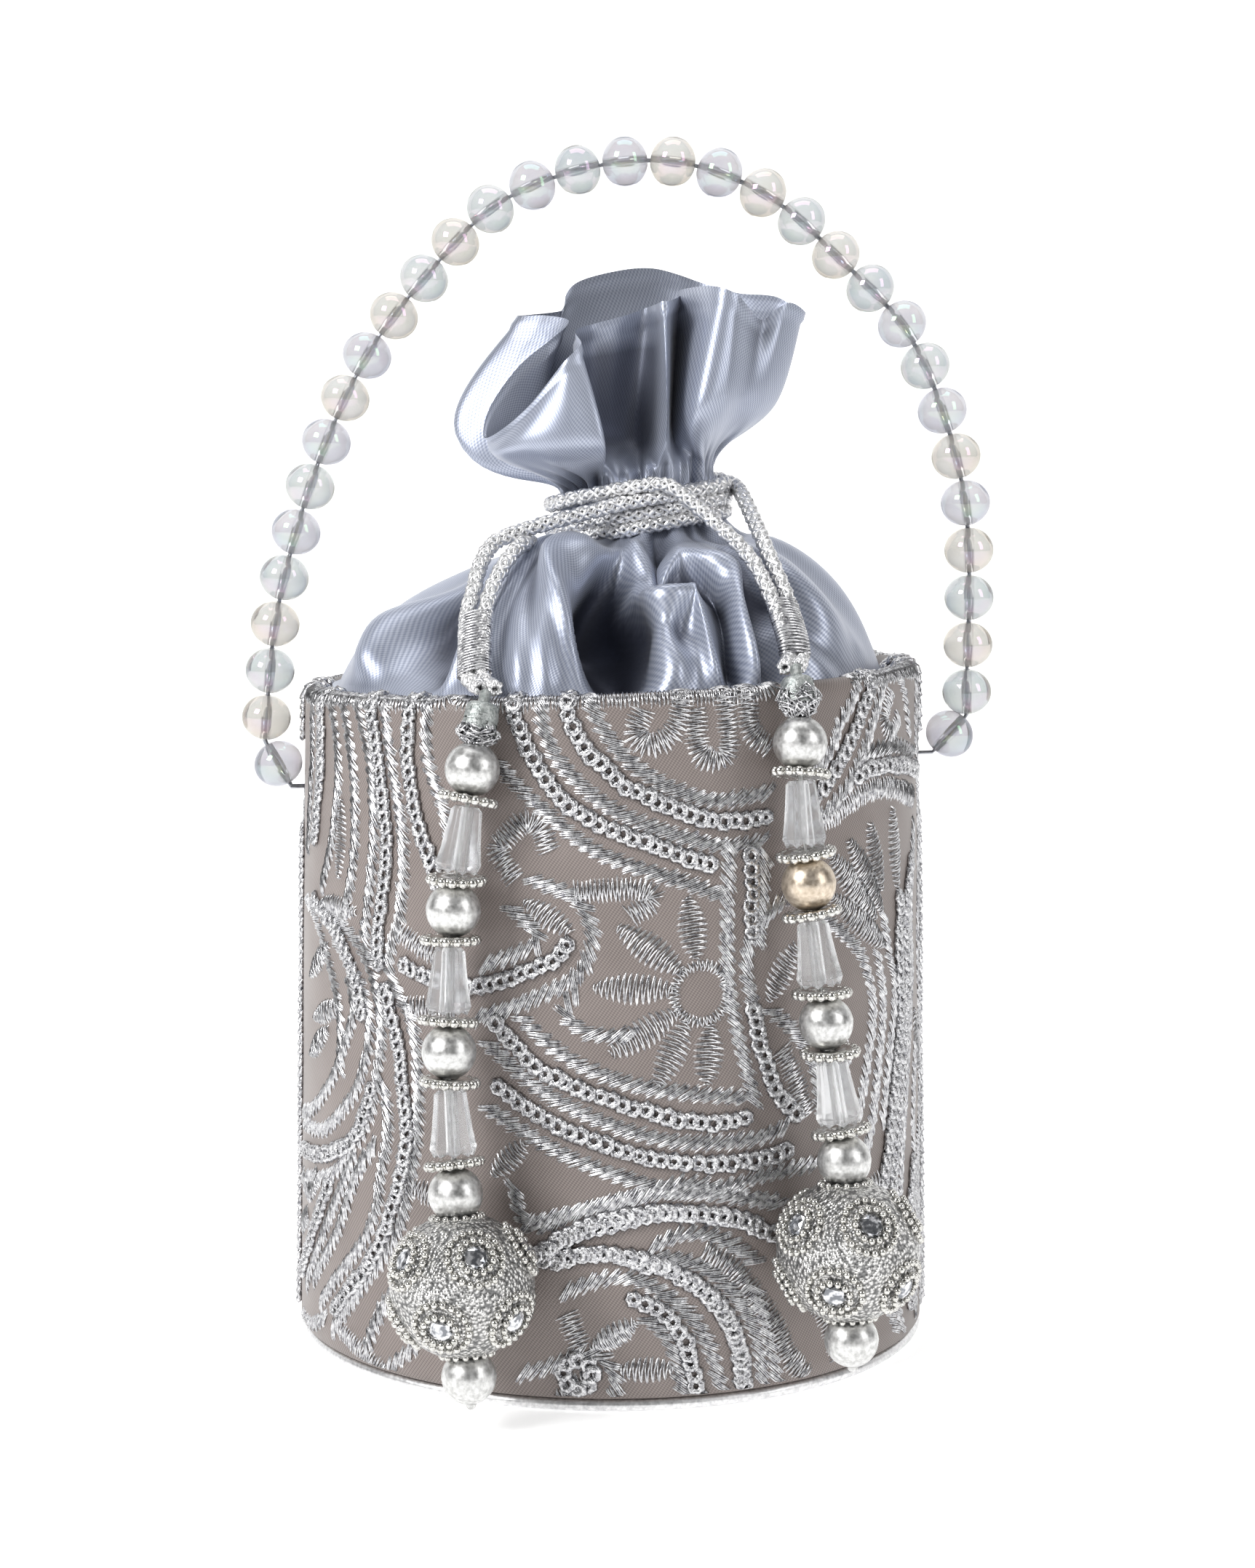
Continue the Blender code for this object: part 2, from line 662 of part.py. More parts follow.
def make_cap(tassel, chain):
    """The wrapped cap over the cord's ends: a stem in the bend, the wrap, and the knot under it."""
    place, down = chain["cap"]
    foot = STEM_LENGTH + CAP_LENGTH
    profile = [(0.0, STEM_RADIUS)]
    profile += arc((0.0, 0.0), STEM_RADIUS, 60, 0, 2)
    profile += [
        (STEM_RADIUS, -STEM_LENGTH + CAP_EDGE / 2),
        (CAP_RADIUS - CAP_EDGE, -STEM_LENGTH),
        (CAP_RADIUS, -STEM_LENGTH - CAP_EDGE),
        (CAP_RADIUS, -foot + CAP_EDGE),
        (CAP_RADIUS - CAP_EDGE, -foot),
        (KNOT_RADIUS, -foot - KNOT_LENGTH * 0.35),
        (KNOT_RADIUS * 0.45, -foot - KNOT_LENGTH),
        (0.0, -foot - KNOT_LENGTH),
    ]
    return strung(f"{tassel.side}_tassel_cap", profile, SILVER_CORD, place, down)


def make_ball(tassel, chain):
    """The jewelled ball: a bored sphere with round medallions standing on it."""
    place, down = chain["ball"]
    profile = ellipse_side(BALL_RADIUS, BALL_RADIUS, BALL_BORE, 7)
    ball = turned(f"{tassel.side}_ball", profile, SILVER, 14, closed=True)
    apply_modifiers(ball)
    for direction in medallion_directions():
        disc_profile = [
            (0.0, BALL_RADIUS + MEDALLION_HEIGHT),
            (MEDALLION_RADIUS * 0.6, BALL_RADIUS + MEDALLION_HEIGHT),
            (MEDALLION_RADIUS, BALL_RADIUS - MEDALLION_ROOT),
            (0.0, BALL_RADIUS - MEDALLION_ROOT),
        ]
        disc = turned("medallion", disc_profile, SILVER, 8, collection=CUTTERS)
        disc.matrix_world = along(direction, Vector((0.3, 0.2, 1)))
        apply_modifiers(disc)
        combine(ball, disc, "UNION")
    ball.matrix_world = Matrix.Translation(place + down * BALL_SEAT) @ along(-down)
    return ball


def medallion_directions():
    """Two rings of five round the ball, clear of the bore at its poles."""
    found = []
    for level, offset in ((28, 0), (-28, 36)):
        for i in range(MEDALLIONS_A_RING):
            turn = math.radians(360 / MEDALLIONS_A_RING * i + offset)
            up = math.radians(level)
            found.append(Vector((math.cos(up) * math.cos(turn), math.cos(up) * math.sin(turn), math.sin(up))))
    return found


def make_string(tassel, chain):
    """The string through the whole tassel, ending in the bead that is knotted on below the ball."""
    foot, last = chain["foot"]
    points = []
    for name in LINKS[1:]:
        points.append(chain[name][0])
    points.append(foot)
    thread = tube(f"{tassel.side}_string", points, STRING_RADIUS, SILVER_CORD, resolution=1)
    mesh = evaluated_mesh(thread)
    bpy.data.objects.remove(thread, do_unlink=True)
    string = add_object(f"{tassel.side}_string", mesh, None)
    profile = [(0.0, BEAD_RADIUS)] + ellipse_side(BEAD_RADIUS, BEAD_RADIUS, 0.5 * MM, 7)[1:-1] + [(0.0, -BEAD_RADIUS)]
    bead = turned("end_bead", profile, SILVER, SMALL_SEGMENTS, collection=CUTTERS)
    bead.matrix_world = Matrix.Translation(foot) @ along(-last)
    apply_modifiers(bead)
    return combine(string, bead, "UNION")


def make_tassel(tassel):
    chain = hang(tassel, settled_lean(tassel))
    make_cap(tassel, chain)
    for number in (1, 2, 3, 4):
        make_bead(tassel, number, chain)
    for number in (1, 2, 3):
        make_cone(tassel, number, chain)
    make_ball(tassel, chain)
    make_string(tassel, chain)


# Drawcords: from a tassel over the rim and up the dome, round the neck, and back beside itself.
# Each strand's route is given from the rim up to where it meets the turns.
WRAP_RADIUS = NECK_RADIUS + CORD_RADIUS + 2 * GAP
WRAP_PITCH = 2 * CORD_RADIUS + GAP
CROSSING = 2 * CORD_RADIUS + 1.5 * GAP  # how far out a strand passes over the turns below it
TASSEL_END = STEM_RADIUS + 1.2 * GAP  # the cord ends this far behind its tassel's hinge
LEFT_LOWER = [(-23.6, -50.6, 139.8), (-23.2, -45.0, 147.0), (-21.0, -37.6, 153.6), (-16.8, -27.6, 160.0)]
LEFT_UPPER = [(-27.0, -49.2, 139.8), (-27.0, -43.0, 147.0), (-26.0, -35.6, 153.4), (-21.6, -27.2, 160.6)]
RIGHT_LOWER = [(35.4, -45.0, 142.0), (33.6, -39.8, 149.2), (30.8, -31.6, 156.4), (28.6, -20.6, 162.6)]
RIGHT_UPPER = [(32.6, -46.8, 142.0), (30.6, -42.0, 149.2), (27.0, -34.6, 156.8), (21.4, -26.0, 162.8)]


def wrap_point(degrees, level, reach=0.0):
    """A point on the turns round the neck, at an angle from the front and a level over their middle."""
    angle = math.radians(degrees)
    r = WRAP_RADIUS + reach
    x = NECK_X + r * math.sin(angle)
    return Vector((x, -r * math.cos(angle), NECK_HEIGHT + level + neck_rise(x)))


def make_turns(start_degrees, end_degrees, start_level, start_reach, end_reach):
    """Points round the neck, rising one pitch a turn, standing out at an end that crosses other turns."""
    turned_by = end_degrees - start_degrees
    count = round(abs(turned_by) * TURN_POINTS / 360)
    found = []
    for i in range(count + 1):
        share = i / count
        into = min(1.0, share * abs(turned_by) / 50)
        out_of = min(1.0, (1 - share) * abs(turned_by) / 50)
        reach = start_reach * (1 - into) + end_reach * (1 - out_of)
        level = start_level + WRAP_PITCH * share * abs(turned_by) / 360
        found.append(wrap_point(start_degrees + turned_by * share, level, reach))
    return found


def rim_points(tassel, side):
    """The stretch of a strand from its end at the tassel to the inner edge of the rim."""
    beside = tassel.across * side * (CORD_RADIUS + GAP / 2)
    lift = CORD_RADIUS + 2 * GAP
    end = tassel.hinge - tassel.out * TASSEL_END
    over = tassel.out * (RIM_RADIUS - FLANGE_IN)
    over.z = rim_height(over.x) + lift
    end.z = max(end.z, rim_height(end.x) + lift)
    return [end + beside, over + beside]


def make_drawcord(name, tassel, lower, upper, turns, lower_side):
    """One cord: its lower strand enters the turns, and its upper strand leaves them."""
    rise = [Vector(point) * MM for point in lower]
    fall = [Vector(point) * MM for point in reversed(upper)]
    knots = rim_points(tassel, lower_side) + rise + turns + fall
    knots += rim_points(tassel, -lower_side)[::-1]
    points = evenly_along(knots, spacing=CORD_POINT_SPACING)
    return tube(name, points, CORD_RADIUS, SILVER_CORD)


def make_drawcords():
    left_turns = make_turns(-82, -735, -1.6 * WRAP_PITCH, 0.0, CROSSING)
    right_turns = make_turns(82, 378, 1.05 * WRAP_PITCH, CROSSING, CROSSING)
    make_drawcord("drawcord_left", LEFT_TASSEL, LEFT_LOWER, LEFT_UPPER, left_turns, 1)
    make_drawcord("drawcord_right", RIGHT_TASSEL, RIGHT_LOWER, RIGHT_UPPER, right_turns, 1)


# The arch, from the bend over the left end bead to the bend over the right one. Each point is a share of
# the rim's radius across, and millimetres above the wall's top.
HANDLE_ARCH = [
    (-1.1415, -14.1),
    (-1.1268, -3.0),
    (-1.0959, 12.1),
    (-1.0211, 30.1),
    (-0.9171, 47.8),
    (-0.7821, 64.4),
    (-0.5935, 79.4),
    (-0.3772, 92.7),
    (-0.0894, 100.1),
    (0.2228, 101.3),
    (0.5171, 94.5),
    (0.7512, 81.9),
    (0.9593, 68.5),
    (1.0862, 51.6),
    (1.1626, 33.4),
    (1.1772, 14.4),
    (1.174, 1.0),
    (1.174, -8.9),
]


def knot_points(pivot, inward):
    """The wire's knot against the board, from its end outwards, with the step down to the plain wire."""
    facet = RIM_RADIUS * (1 - math.cos(math.pi / WALL_SEGMENTS))
    reach = (abs(pivot.x) - wall_radius(pivot.z) + BOARD_IN + GAP + facet) / abs(inward.x)
    face = pivot + inward * reach
    return [face + inward * WIRE_KNOT_LENGTH, face, face - inward * KNOT_STEP]


def make_handle():
    """The stiff wire, a bead on each slanting end of it, and beads strung along all of its arch."""
    across = (PIVOT_RIGHT - PIVOT_LEFT).normalized()
    knots = [Vector((share * RIM_RADIUS, 0, WALL_HEIGHT + up * MM)) for share, up in HANDLE_ARCH]
    fine = evenly_along(knots, spacing=1.0 * MM)
    length = sum((b - a).length for a, b in zip(fine, fine[1:]))
    count = int(length / (HANDLE_BEAD_LENGTH + GAP))
    halves = evenly_along(knots, count=2 * count + 1)
    centres = halves[1::2]
    left_exit = PIVOT_LEFT - across * WIRE_EXIT
    right_exit = PIVOT_RIGHT + across * WIRE_EXIT
    left_end = knot_points(PIVOT_LEFT, across)
    right_end = knot_points(PIVOT_RIGHT, -across)[::-1]
    points = left_end + [left_exit, halves[0]] + centres + [halves[-1], right_exit] + right_end
    swell = WIRE_KNOT_RADIUS / WIRE_RADIUS
    plain = len(centres) + 6
    radii = [swell, swell] + [1.0] * plain + [swell, swell]
    tube("handle_wire", points, WIRE_RADIUS, WIRE, radii, resolution=1)
    seats = [((left_exit + halves[0]) / 2, halves[0] - left_exit)]
    for i, centre in enumerate(centres):
        seats.append((centre, halves[2 * i + 2] - halves[2 * i]))
    seats.append(((halves[-1] + right_exit) / 2, right_exit - halves[-1]))
    profile = ellipse_side(HANDLE_BEAD_RADIUS, HANDLE_BEAD_LENGTH / 2, WIRE_RADIUS + HANDLE_BEAD_PLAY, 4)
    for i, (centre, direction) in enumerate(seats):
        bead = turned(f"handle_bead_{i + 1:02d}", profile, CLEAR, BEAD_SEGMENTS, closed=True)
        bead.matrix_world = Matrix.Translation(centre) @ along(direction)


make_cover()
make_stiffener()
cut_wire_holes(bpy.data.objects["outer_cover"])
cut_wire_holes(bpy.data.objects["stiffener"])
make_piping()
make_pouch()
make_tassel(LEFT_TASSEL)
make_tassel(RIGHT_TASSEL)
make_handle()
make_drawcords()
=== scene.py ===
# %% [markdown]
# # A potli bag in Blender
# A potli is a drawstring bag. This one has a stiff round bucket covered in embroidered satin. A soft
# satin pouch rises out of it, drawn shut by two braided cords. Each cord ends in a tassel of beads, clear
# cones and a jewelled ball. A stiff wire strung with clear beads is the handle.
#
# The solids come ready-made from a CAD frame. The lesson dresses them: every visible piece gets a finer
# mesh or a better finish, and stays exactly where its solid is. All lengths are in metres, +Z is up, and
# the front of the bag faces -Y.

# %% Load the frame
import math

import bpy
import numpy as np
from mathutils import Matrix, Vector


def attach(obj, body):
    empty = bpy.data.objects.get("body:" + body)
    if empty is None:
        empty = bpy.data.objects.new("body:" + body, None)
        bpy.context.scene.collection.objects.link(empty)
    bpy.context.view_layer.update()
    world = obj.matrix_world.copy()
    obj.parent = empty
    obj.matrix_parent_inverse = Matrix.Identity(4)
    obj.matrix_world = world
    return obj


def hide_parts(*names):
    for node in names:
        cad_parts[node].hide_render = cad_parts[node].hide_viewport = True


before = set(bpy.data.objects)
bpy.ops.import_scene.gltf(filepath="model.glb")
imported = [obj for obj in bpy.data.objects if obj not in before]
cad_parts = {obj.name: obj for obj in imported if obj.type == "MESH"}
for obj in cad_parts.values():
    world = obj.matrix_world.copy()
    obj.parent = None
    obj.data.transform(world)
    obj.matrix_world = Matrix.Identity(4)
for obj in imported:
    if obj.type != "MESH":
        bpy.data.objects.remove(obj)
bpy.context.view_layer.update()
MM = 0.001

# %% [markdown]
# ## The camera
# The photograph was taken from the front, a little above the bag, from about 58 cm away. The tilt, the
# distance and the lens were worked out from the round beads and from the rim's ellipse. The bag stands a
# little left of the middle of the picture, so the lens is shifted by that much.

# %% Camera
CAMERA_DISTANCE = 579.0 * MM
CAMERA_HEIGHT = 174.3 * MM
CAMERA_TILT = 0.1097  # radians down from level
LENS_MM = 65.7
SENSOR_MM = 36.0
AXIS_PIXEL = 839.3  # column of the picture in which the bag's axis stands
PICTURE = (1725, 2156)

camera_data = bpy.data.cameras.new("camera")
camera_data.sensor_fit = "VERTICAL"
camera_data.sensor_height = SENSOR_MM
camera_data.lens = LENS_MM
camera_data.shift_x = (PICTURE[0] / 2 - AXIS_PIXEL) / PICTURE[1]
camera_data.clip_start = 0.02
camera = bpy.data.objects.new("camera", camera_data)
bpy.context.scene.collection.objects.link(camera)
camera.location = (0, -CAMERA_DISTANCE, CAMERA_HEIGHT)
camera.rotation_euler = (math.pi / 2 - CAMERA_TILT, 0, 0)
bpy.context.scene.view_settings.view_transform = "Standard"
bpy.context.scene.camera = camera
print("camera looks down by", round(math.degrees(CAMERA_TILT), 1), "degrees")

# %% [markdown]
# ## Lines through space
# The cords, the handle and many stitches follow smooth lines. A Catmull-Rom curve passes through all the
# points that it is given, so a line can be drawn by naming a few places on it. Points at equal distances
# along that curve then carry the strands and the beads.

# %% Smooth lines


def between(before, start, end, after, t):
    """The Catmull-Rom curve from start to end, which looks at the neighbours on both sides."""
    return 0.5 * (
        2 * start
        + (end - before) * t
        + (2 * before - 5 * start + 4 * end - after) * t * t
        + (3 * start - before - 3 * end + after) * t**3
    )


def smooth_through(knots, parameter):
    """A point of the smooth curve through the knots. Knot 2 is at parameter 2.0, and so on."""
    last = len(knots) - 1
    i = min(int(parameter), last - 1)
    neighbours = knots[max(i - 1, 0)], knots[i], knots[i + 1], knots[min(i + 2, last)]
    return between(*neighbours, parameter - i)


def evenly_along(knots, spacing=None, count=None):
    """Points at equal arc lengths along the smooth curve through the knots."""
    fine = 24
    samples = [smooth_through(knots, i / fine) for i in range((len(knots) - 1) * fine + 1)]
    lengths = [0.0]
    for a, b in zip(samples, samples[1:]):
        lengths.append(lengths[-1] + (b - a).length)
    if count is None:
        count = max(2, round(lengths[-1] / spacing) + 1)
    found = []
    j = 0
    for i in range(count):
        wanted = lengths[-1] * i / (count - 1)
        while j < len(lengths) - 2 and lengths[j + 1] < wanted:
            j += 1
        share = (wanted - lengths[j]) / (lengths[j + 1] - lengths[j])
        found.append(samples[j].lerp(samples[j + 1], min(max(share, 0.0), 1.0)))
    return found


def step_at(points, i):
    """The way from the point before number i to the point after it."""
    return points[min(i + 1, len(points) - 1)] - points[max(i - 1, 0)]


def length_of(points):
    return sum((b - a).length for a, b in zip(points, points[1:]))


# %% [markdown]
# ## Making meshes and finishes
# A few small helpers carry the whole lesson. One makes an object from points and faces. One joins a grid
# of points with faces, and one spins a profile round an axis, as a lathe does. Others start a material
# and hand back its nodes, so that each finish can be built from noise, weave and bump.

# %% Mesh helpers


def piece_from(name, points, faces, finish, smooth=True):
    """An object from points and faces, in one material."""
    mesh = bpy.data.meshes.new(name)
    mesh.from_pydata([tuple(p) for p in points], [], [tuple(f) for f in faces])
    mesh.materials.append(finish)
    if smooth:
        mesh.shade_smooth()
    made = bpy.data.objects.new(name, mesh)
    bpy.context.scene.collection.objects.link(made)
    return made


def round_z(radius, turn, height=0.0):
    """A point at a radius and a turn round +Z."""
    return Vector((radius * math.cos(turn), radius * math.sin(turn), height))


def grid_faces(rows, columns, close_rows=True, close_columns=True):
    """Quads between the neighbours in a grid of points that is listed row by row."""
    faces = []
    for i in range(rows if close_rows else rows - 1):
        here = i * columns
        there = (i + 1) % rows * columns
        for k in range(columns if close_columns else columns - 1):
            n = (k + 1) % columns
            faces.append((here + k, there + k, there + n, here + n))
    return faces


def along(direction, facing=Vector((0, 1, 0))):
    """A rotation that takes local +Z to the direction."""
    z = direction.normalized()
    x = facing.cross(z).normalized()
    y = z.cross(x)
    return Matrix((x, y, z)).transposed().to_4x4()


def lathe(profile, segments, closed=False):
    """Points and faces of a profile of (radius, height) turned about Z."""
    points = []
    for i in range(segments):
        turn = 2 * math.pi * i / segments
        points.extend(round_z(radius, turn, height) for radius, height in profile)
    # The grid's faces would look inwards here, so the corners of each are taken the other way round.
    inward = grid_faces(segments, len(profile), True, closed)
    return points, [(a, b, c, d) for a, d, c, b in inward]


def moved(points, matrix):
    return [matrix @ p for p in points]


def renumbered(faces, first):
    """The same faces for points that start at number first."""
    return [tuple(first + k for k in face) for face in faces]


def join_parts(parts):
    """One list of points and one of faces from several (points, faces) pairs."""
    points = []
    faces = []
    for some_points, some_faces in parts:
        faces += renumbered(some_faces, len(points))
        points += some_points
    return points, faces


# %% Material helpers


def new_finish(name):
    """A material, its node tree and its Principled shader."""
    made = bpy.data.materials.new(name)
    made.use_nodes = True
    tree = made.node_tree
    return made, tree, tree.nodes["Principled BSDF"]


def object_noise(tree, scale, detail=3.0, roughness=0.5):
    """Noise fixed to the object, so that it stays put when a piece moves."""
    where = tree.nodes.new("ShaderNodeTexCoord")
    noise = tree.nodes.new("ShaderNodeTexNoise")
    noise.inputs["Scale"].default_value = scale
    noise.inputs["Detail"].default_value = detail
    noise.inputs["Roughness"].default_value = roughness
    tree.links.new(where.outputs["Object"], noise.inputs["Vector"])
    return noise


def two_colours(tree, factor, dark, light, low=0.3, high=0.7):
    """A ramp from a dark to a light colour by a factor."""
    ramp = tree.nodes.new("ShaderNodeValToRGB")
    ramp.color_ramp.elements[0].position = low
    ramp.color_ramp.elements[1].position = high
    ramp.color_ramp.elements[0].color = (*dark, 1)
    ramp.color_ramp.elements[1].color = (*light, 1)
    tree.links.new(factor, ramp.inputs["Fac"])
    return ramp.outputs["Color"]


def number_range(tree, factor, low, high):
    """Maps a factor of 0 to 1 onto a range of numbers."""
    span = tree.nodes.new("ShaderNodeMapRange")
    span.inputs["To Min"].default_value = low
    span.inputs["To Max"].default_value = high
    tree.links.new(factor, span.inputs["Value"])
    return span.outputs["Result"]


def colour_and_shine(tree, shader, factor, colours, roughness, stops=(0.3, 0.7)):
    """Lets one factor choose the base colour, from dark to light, and the roughness in its range."""
    tree.links.new(two_colours(tree, factor, *colours, *stops), shader.inputs["Base Color"])
    tree.links.new(number_range(tree, factor, *roughness), shader.inputs["Roughness"])


def add_bump(tree, shader, height, strength, distance):
    """Adds a bump under the shader's normal. A second one goes on top of the first."""
    bump = tree.nodes.new("ShaderNodeBump")
    bump.inputs["Strength"].default_value = strength
    bump.inputs["Distance"].default_value = distance
    tree.links.new(height, bump.inputs["Height"])
    before = shader.inputs["Normal"].links
    if before:
        tree.links.new(before[0].from_socket, bump.inputs["Normal"])
    tree.links.new(bump.outputs["Normal"], shader.inputs["Normal"])


# %% [markdown]
# ## Metal finishes
# Metallic thread is a thin foil wound round a fibre. It glitters because each turn of foil faces another
# way. A fine noise on the roughness and on the bump does that here. The same noise takes the colour from
# dark to bright. On the thread and the chain's rings that spread is wide: painted reflection, dark where a
# turn would mirror darker surroundings. The silver beads are plated and then frosted a little, so their
# highlights are soft and slightly mottled, the plating's own mottle.

# %% Silver thread, braid and plated beads


def metal_finish(name, dark, light, roughness, grain, bump_strength, bump_distance):
    """A metal whose colour and roughness vary with a fine grain, given as its size in metres."""
    made, tree, shader = new_finish(name)
    shader.inputs["Metallic"].default_value = 1.0
    noise = object_noise(tree, 1 / grain, 4.0).outputs["Fac"]
    colour_and_shine(tree, shader, noise, (dark, light), (roughness * 0.7, roughness * 1.3))
    add_bump(tree, shader, noise, bump_strength, bump_distance)
    return made


# Its wide spread from dark to bright is painted reflection: dark where a turn of foil would mirror darker
# surroundings.
silver_thread = metal_finish(
    "silver_thread", (0.22, 0.22, 0.24), (0.96, 0.96, 0.97), 0.28, 0.9 * MM, 0.5, 0.12 * MM
)
# The same painted reflection on the chain's crinkled rings.
crinkled_silver = metal_finish(
    "crinkled_silver", (0.20, 0.20, 0.22), (0.95, 0.95, 0.96), 0.26, 0.7 * MM, 0.9, 0.3 * MM
)
braided_silver = metal_finish(
    "braided_silver", (0.66, 0.66, 0.67), (0.98, 0.98, 0.98), 0.40, 0.8 * MM, 0.2, 0.06 * MM
)
plated_bead = metal_finish(
    "plated_bead", (0.48, 0.48, 0.47), (0.88, 0.88, 0.87), 0.38, 0.9 * MM, 0.4, 0.1 * MM
)
champagne_bead = metal_finish(
    "champagne_bead", (0.52, 0.43, 0.33), (0.84, 0.74, 0.62), 0.38, 0.9 * MM, 0.4, 0.1 * MM
)
bright_silver = metal_finish(
    "bright_silver", (0.42, 0.41, 0.39), (0.88, 0.87, 0.83), 0.24, 0.5 * MM, 0.3, 0.06 * MM
)
grey_tape = metal_finish(
    "grey_tape", (0.26, 0.29, 0.28), (0.62, 0.64, 0.63), 0.50, 0.6 * MM, 0.9, 0.25 * MM
)
print("metal finishes:", silver_thread.name, crinkled_silver.name, plated_bead.name)

# %% [markdown]
# ## The two drawcords
# Each cord leaves its tassel, bows over the rim, climbs the dome, winds round the neck and comes back
# beside itself. It starts and ends where the frame's solid cord does. The cord itself is braided from
# eight strands of silver thread: four wind one way and four the other, and each passes over and under the
# ones that it meets. A strand's distance from the cord's middle rises and falls to make that weave.

# %% The wall's shape, used by everything that sits on it
WALL_HEIGHT = 133.5 * MM
RIM_RISE = 2.5 * MM
RIM_RADIUS = 61.5 * MM
BASE_RADIUS = 63.8 * MM
FLANGE_IN = 4.8 * MM
NECK_X = 5.5 * MM
NECK_HEIGHT = 166.8 * MM
NECK_RADIUS = 15.6 * MM
NECK_TILT = math.radians(12)
GAP = 0.3 * MM
CORD_RADIUS = 1.3 * MM


def wall_radius(height):
    return BASE_RADIUS + (RIM_RADIUS - BASE_RADIUS) * height / WALL_HEIGHT


def rim_height(x):
    return WALL_HEIGHT + RIM_RISE * x / RIM_RADIUS


def neck_rise(x):
    return (x - NECK_X) * math.tan(NECK_TILT)


# %% Where each tassel hangs
HINGE_OUT = 3.4 * MM


class Tassel:
    def __init__(self, side, degrees, hinge_rise, outward_lean, leans, gold_bead):
        angle = math.radians(degrees)
        self.side = side
        self.out = Vector((math.sin(angle), -math.cos(angle), 0))
        self.across = Vector((math.cos(angle), math.sin(angle), 0))
        self.hinge = self.out * (RIM_RADIUS + HINGE_OUT)
        self.hinge.z = rim_height(self.hinge.x) + hinge_rise
        self.outward_lean = outward_lean
        self.leans = leans
        self.gold_bead = gold_bead


LEFT_TASSEL = Tassel("left", -20.5, 1.2 * MM, 6.255, (-4, -6, -7, -4, 1, 4, 6, 5, 7, 7), 0)
RIGHT_TASSEL = Tassel("right", 31.5, 3.2 * MM, 6.177, (-7, -3, 1, 3, 5, 6, 6, 3, -1, -1), 2)
TASSELS = (LEFT_TASSEL, RIGHT_TASSEL)
print("hinges:", [tuple(round(v / MM, 1) for v in tassel.hinge) for tassel in TASSELS], "mm")

# %% The cords' routes, in millimetres up the dome and in degrees round the neck
WRAP_RADIUS = NECK_RADIUS + CORD_RADIUS + 2 * GAP
WRAP_PITCH = 2 * CORD_RADIUS + GAP
CROSSING = 2 * CORD_RADIUS + 1.5 * GAP
CLIMB = 0.9 * WRAP_PITCH  # the rise in one turn, because the turns press on each other
EASE_DEGREES = 50  # the first and last stretch of the turns, in which a cord joins its neighbour
TURN_POINTS = 14
TASSEL_END = 1.1 * MM + 1.2 * GAP
ROUTE_EASE = 7.2 * MM  # a first curve through points this far apart takes out the small bends
ROUTE_STEP = 0.42 * MM
LEFT_LOWER = [(-23.6, -50.6, 139.8), (-23.5, -45.0, 147.0), (-21.6, -37.6, 153.6), (-16.8, -27.6, 160.0)]
LEFT_UPPER = [(-26.8, -49.4, 139.8), (-26.8, -43.6, 147.0), (-25.2, -35.9, 153.4), (-21.6, -27.2, 160.6)]
RIGHT_LOWER = [(35.2, -45.0, 143.0), (33.6, -39.8, 149.2), (30.8, -31.6, 156.4), (28.6, -20.6, 162.6)]
RIGHT_UPPER = [(32.5, -46.6, 143.0), (30.6, -42.0, 149.2), (27.0, -34.6, 156.8), (21.4, -26.0, 162.8)]


def wrap_point(degrees, level, reach=0.0):
    angle = math.radians(degrees)
    r = WRAP_RADIUS + reach
    x = NECK_X + r * math.sin(angle)
    return Vector((x, -r * math.cos(angle), NECK_HEIGHT + level + neck_rise(x)))


def make_turns(start_degrees, end_degrees, start_level, start_reach, end_reach, drops=(0.0, 0.0)):
    """Points round the neck. The drops, in turns' pitches, lower the first and the last stretch."""
    turned_by = end_degrees - start_degrees
    count = round(abs(turned_by) * TURN_POINTS / 360)
    found = []
    for i in range(count + 1):
        share = i / count
        into = min(1.0, share * abs(turned_by) / EASE_DEGREES)
        out_of = min(1.0, (1 - share) * abs(turned_by) / EASE_DEGREES)
        reach = start_reach * (1 - into) + end_reach * (1 - out_of)
        level = start_level + CLIMB * share * abs(turned_by) / 360
        level -= WRAP_PITCH * (drops[0] * (1 - into) + drops[1] * (1 - out_of))
        found.append(wrap_point(start_degrees + turned_by * share, level, reach))
    return found


# The strands reach the rim a little to the outside of the tassel, because they come from the neck.
RIM_SHIFT = {"left": -5.0 * MM, "right": 4.5 * MM}
# They cross it in a low bow, because a limp cord doesn't bend tighter than two of its widths.
CROSSING_RADIUS = RIM_RADIUS - FLANGE_IN + 1.8 * MM
CROSSING_LIFT = {"left": 2.6 * MM, "right": 3.5 * MM}


def rim_crossing(tassel):
    """The place on top of the rim, between the two strands."""
    over = tassel.out * CROSSING_RADIUS + tassel.across * RIM_SHIFT[tassel.side]
    over *= CROSSING_RADIUS / over.length
    over.z = rim_height(over.x) + CORD_RADIUS + CROSSING_LIFT[tassel.side]
    return over


def rim_points(tassel, side):
    beside = tassel.across * side * (CORD_RADIUS + GAP / 2)
    end = tassel.hinge - tassel.out * TASSEL_END
    end.z = max(end.z, rim_height(end.x) + CORD_RADIUS + 2 * GAP)
    return [end + beside, rim_crossing(tassel) + beside]


def cord_route(tassel, lower, upper, turns):
    rise = [Vector(point) * MM for point in lower]
    fall = [Vector(point) * MM for point in reversed(upper)]
    knots = rim_points(tassel, 1) + rise + turns + fall + rim_points(tassel, -1)[::-1]
    return evenly_along(evenly_along(knots, spacing=ROUTE_EASE), spacing=ROUTE_STEP)


# %% Braiding a cord along its route
BRAID_PITCH = 7.6 * MM
STRAND_RADIUS = 0.52 * MM
BRAID_RADIUS = 0.98 * MM
BRAID_WAVE = 0.22 * MM
STRAND_SIDES = 5
STRANDS_EACH_WAY = 4


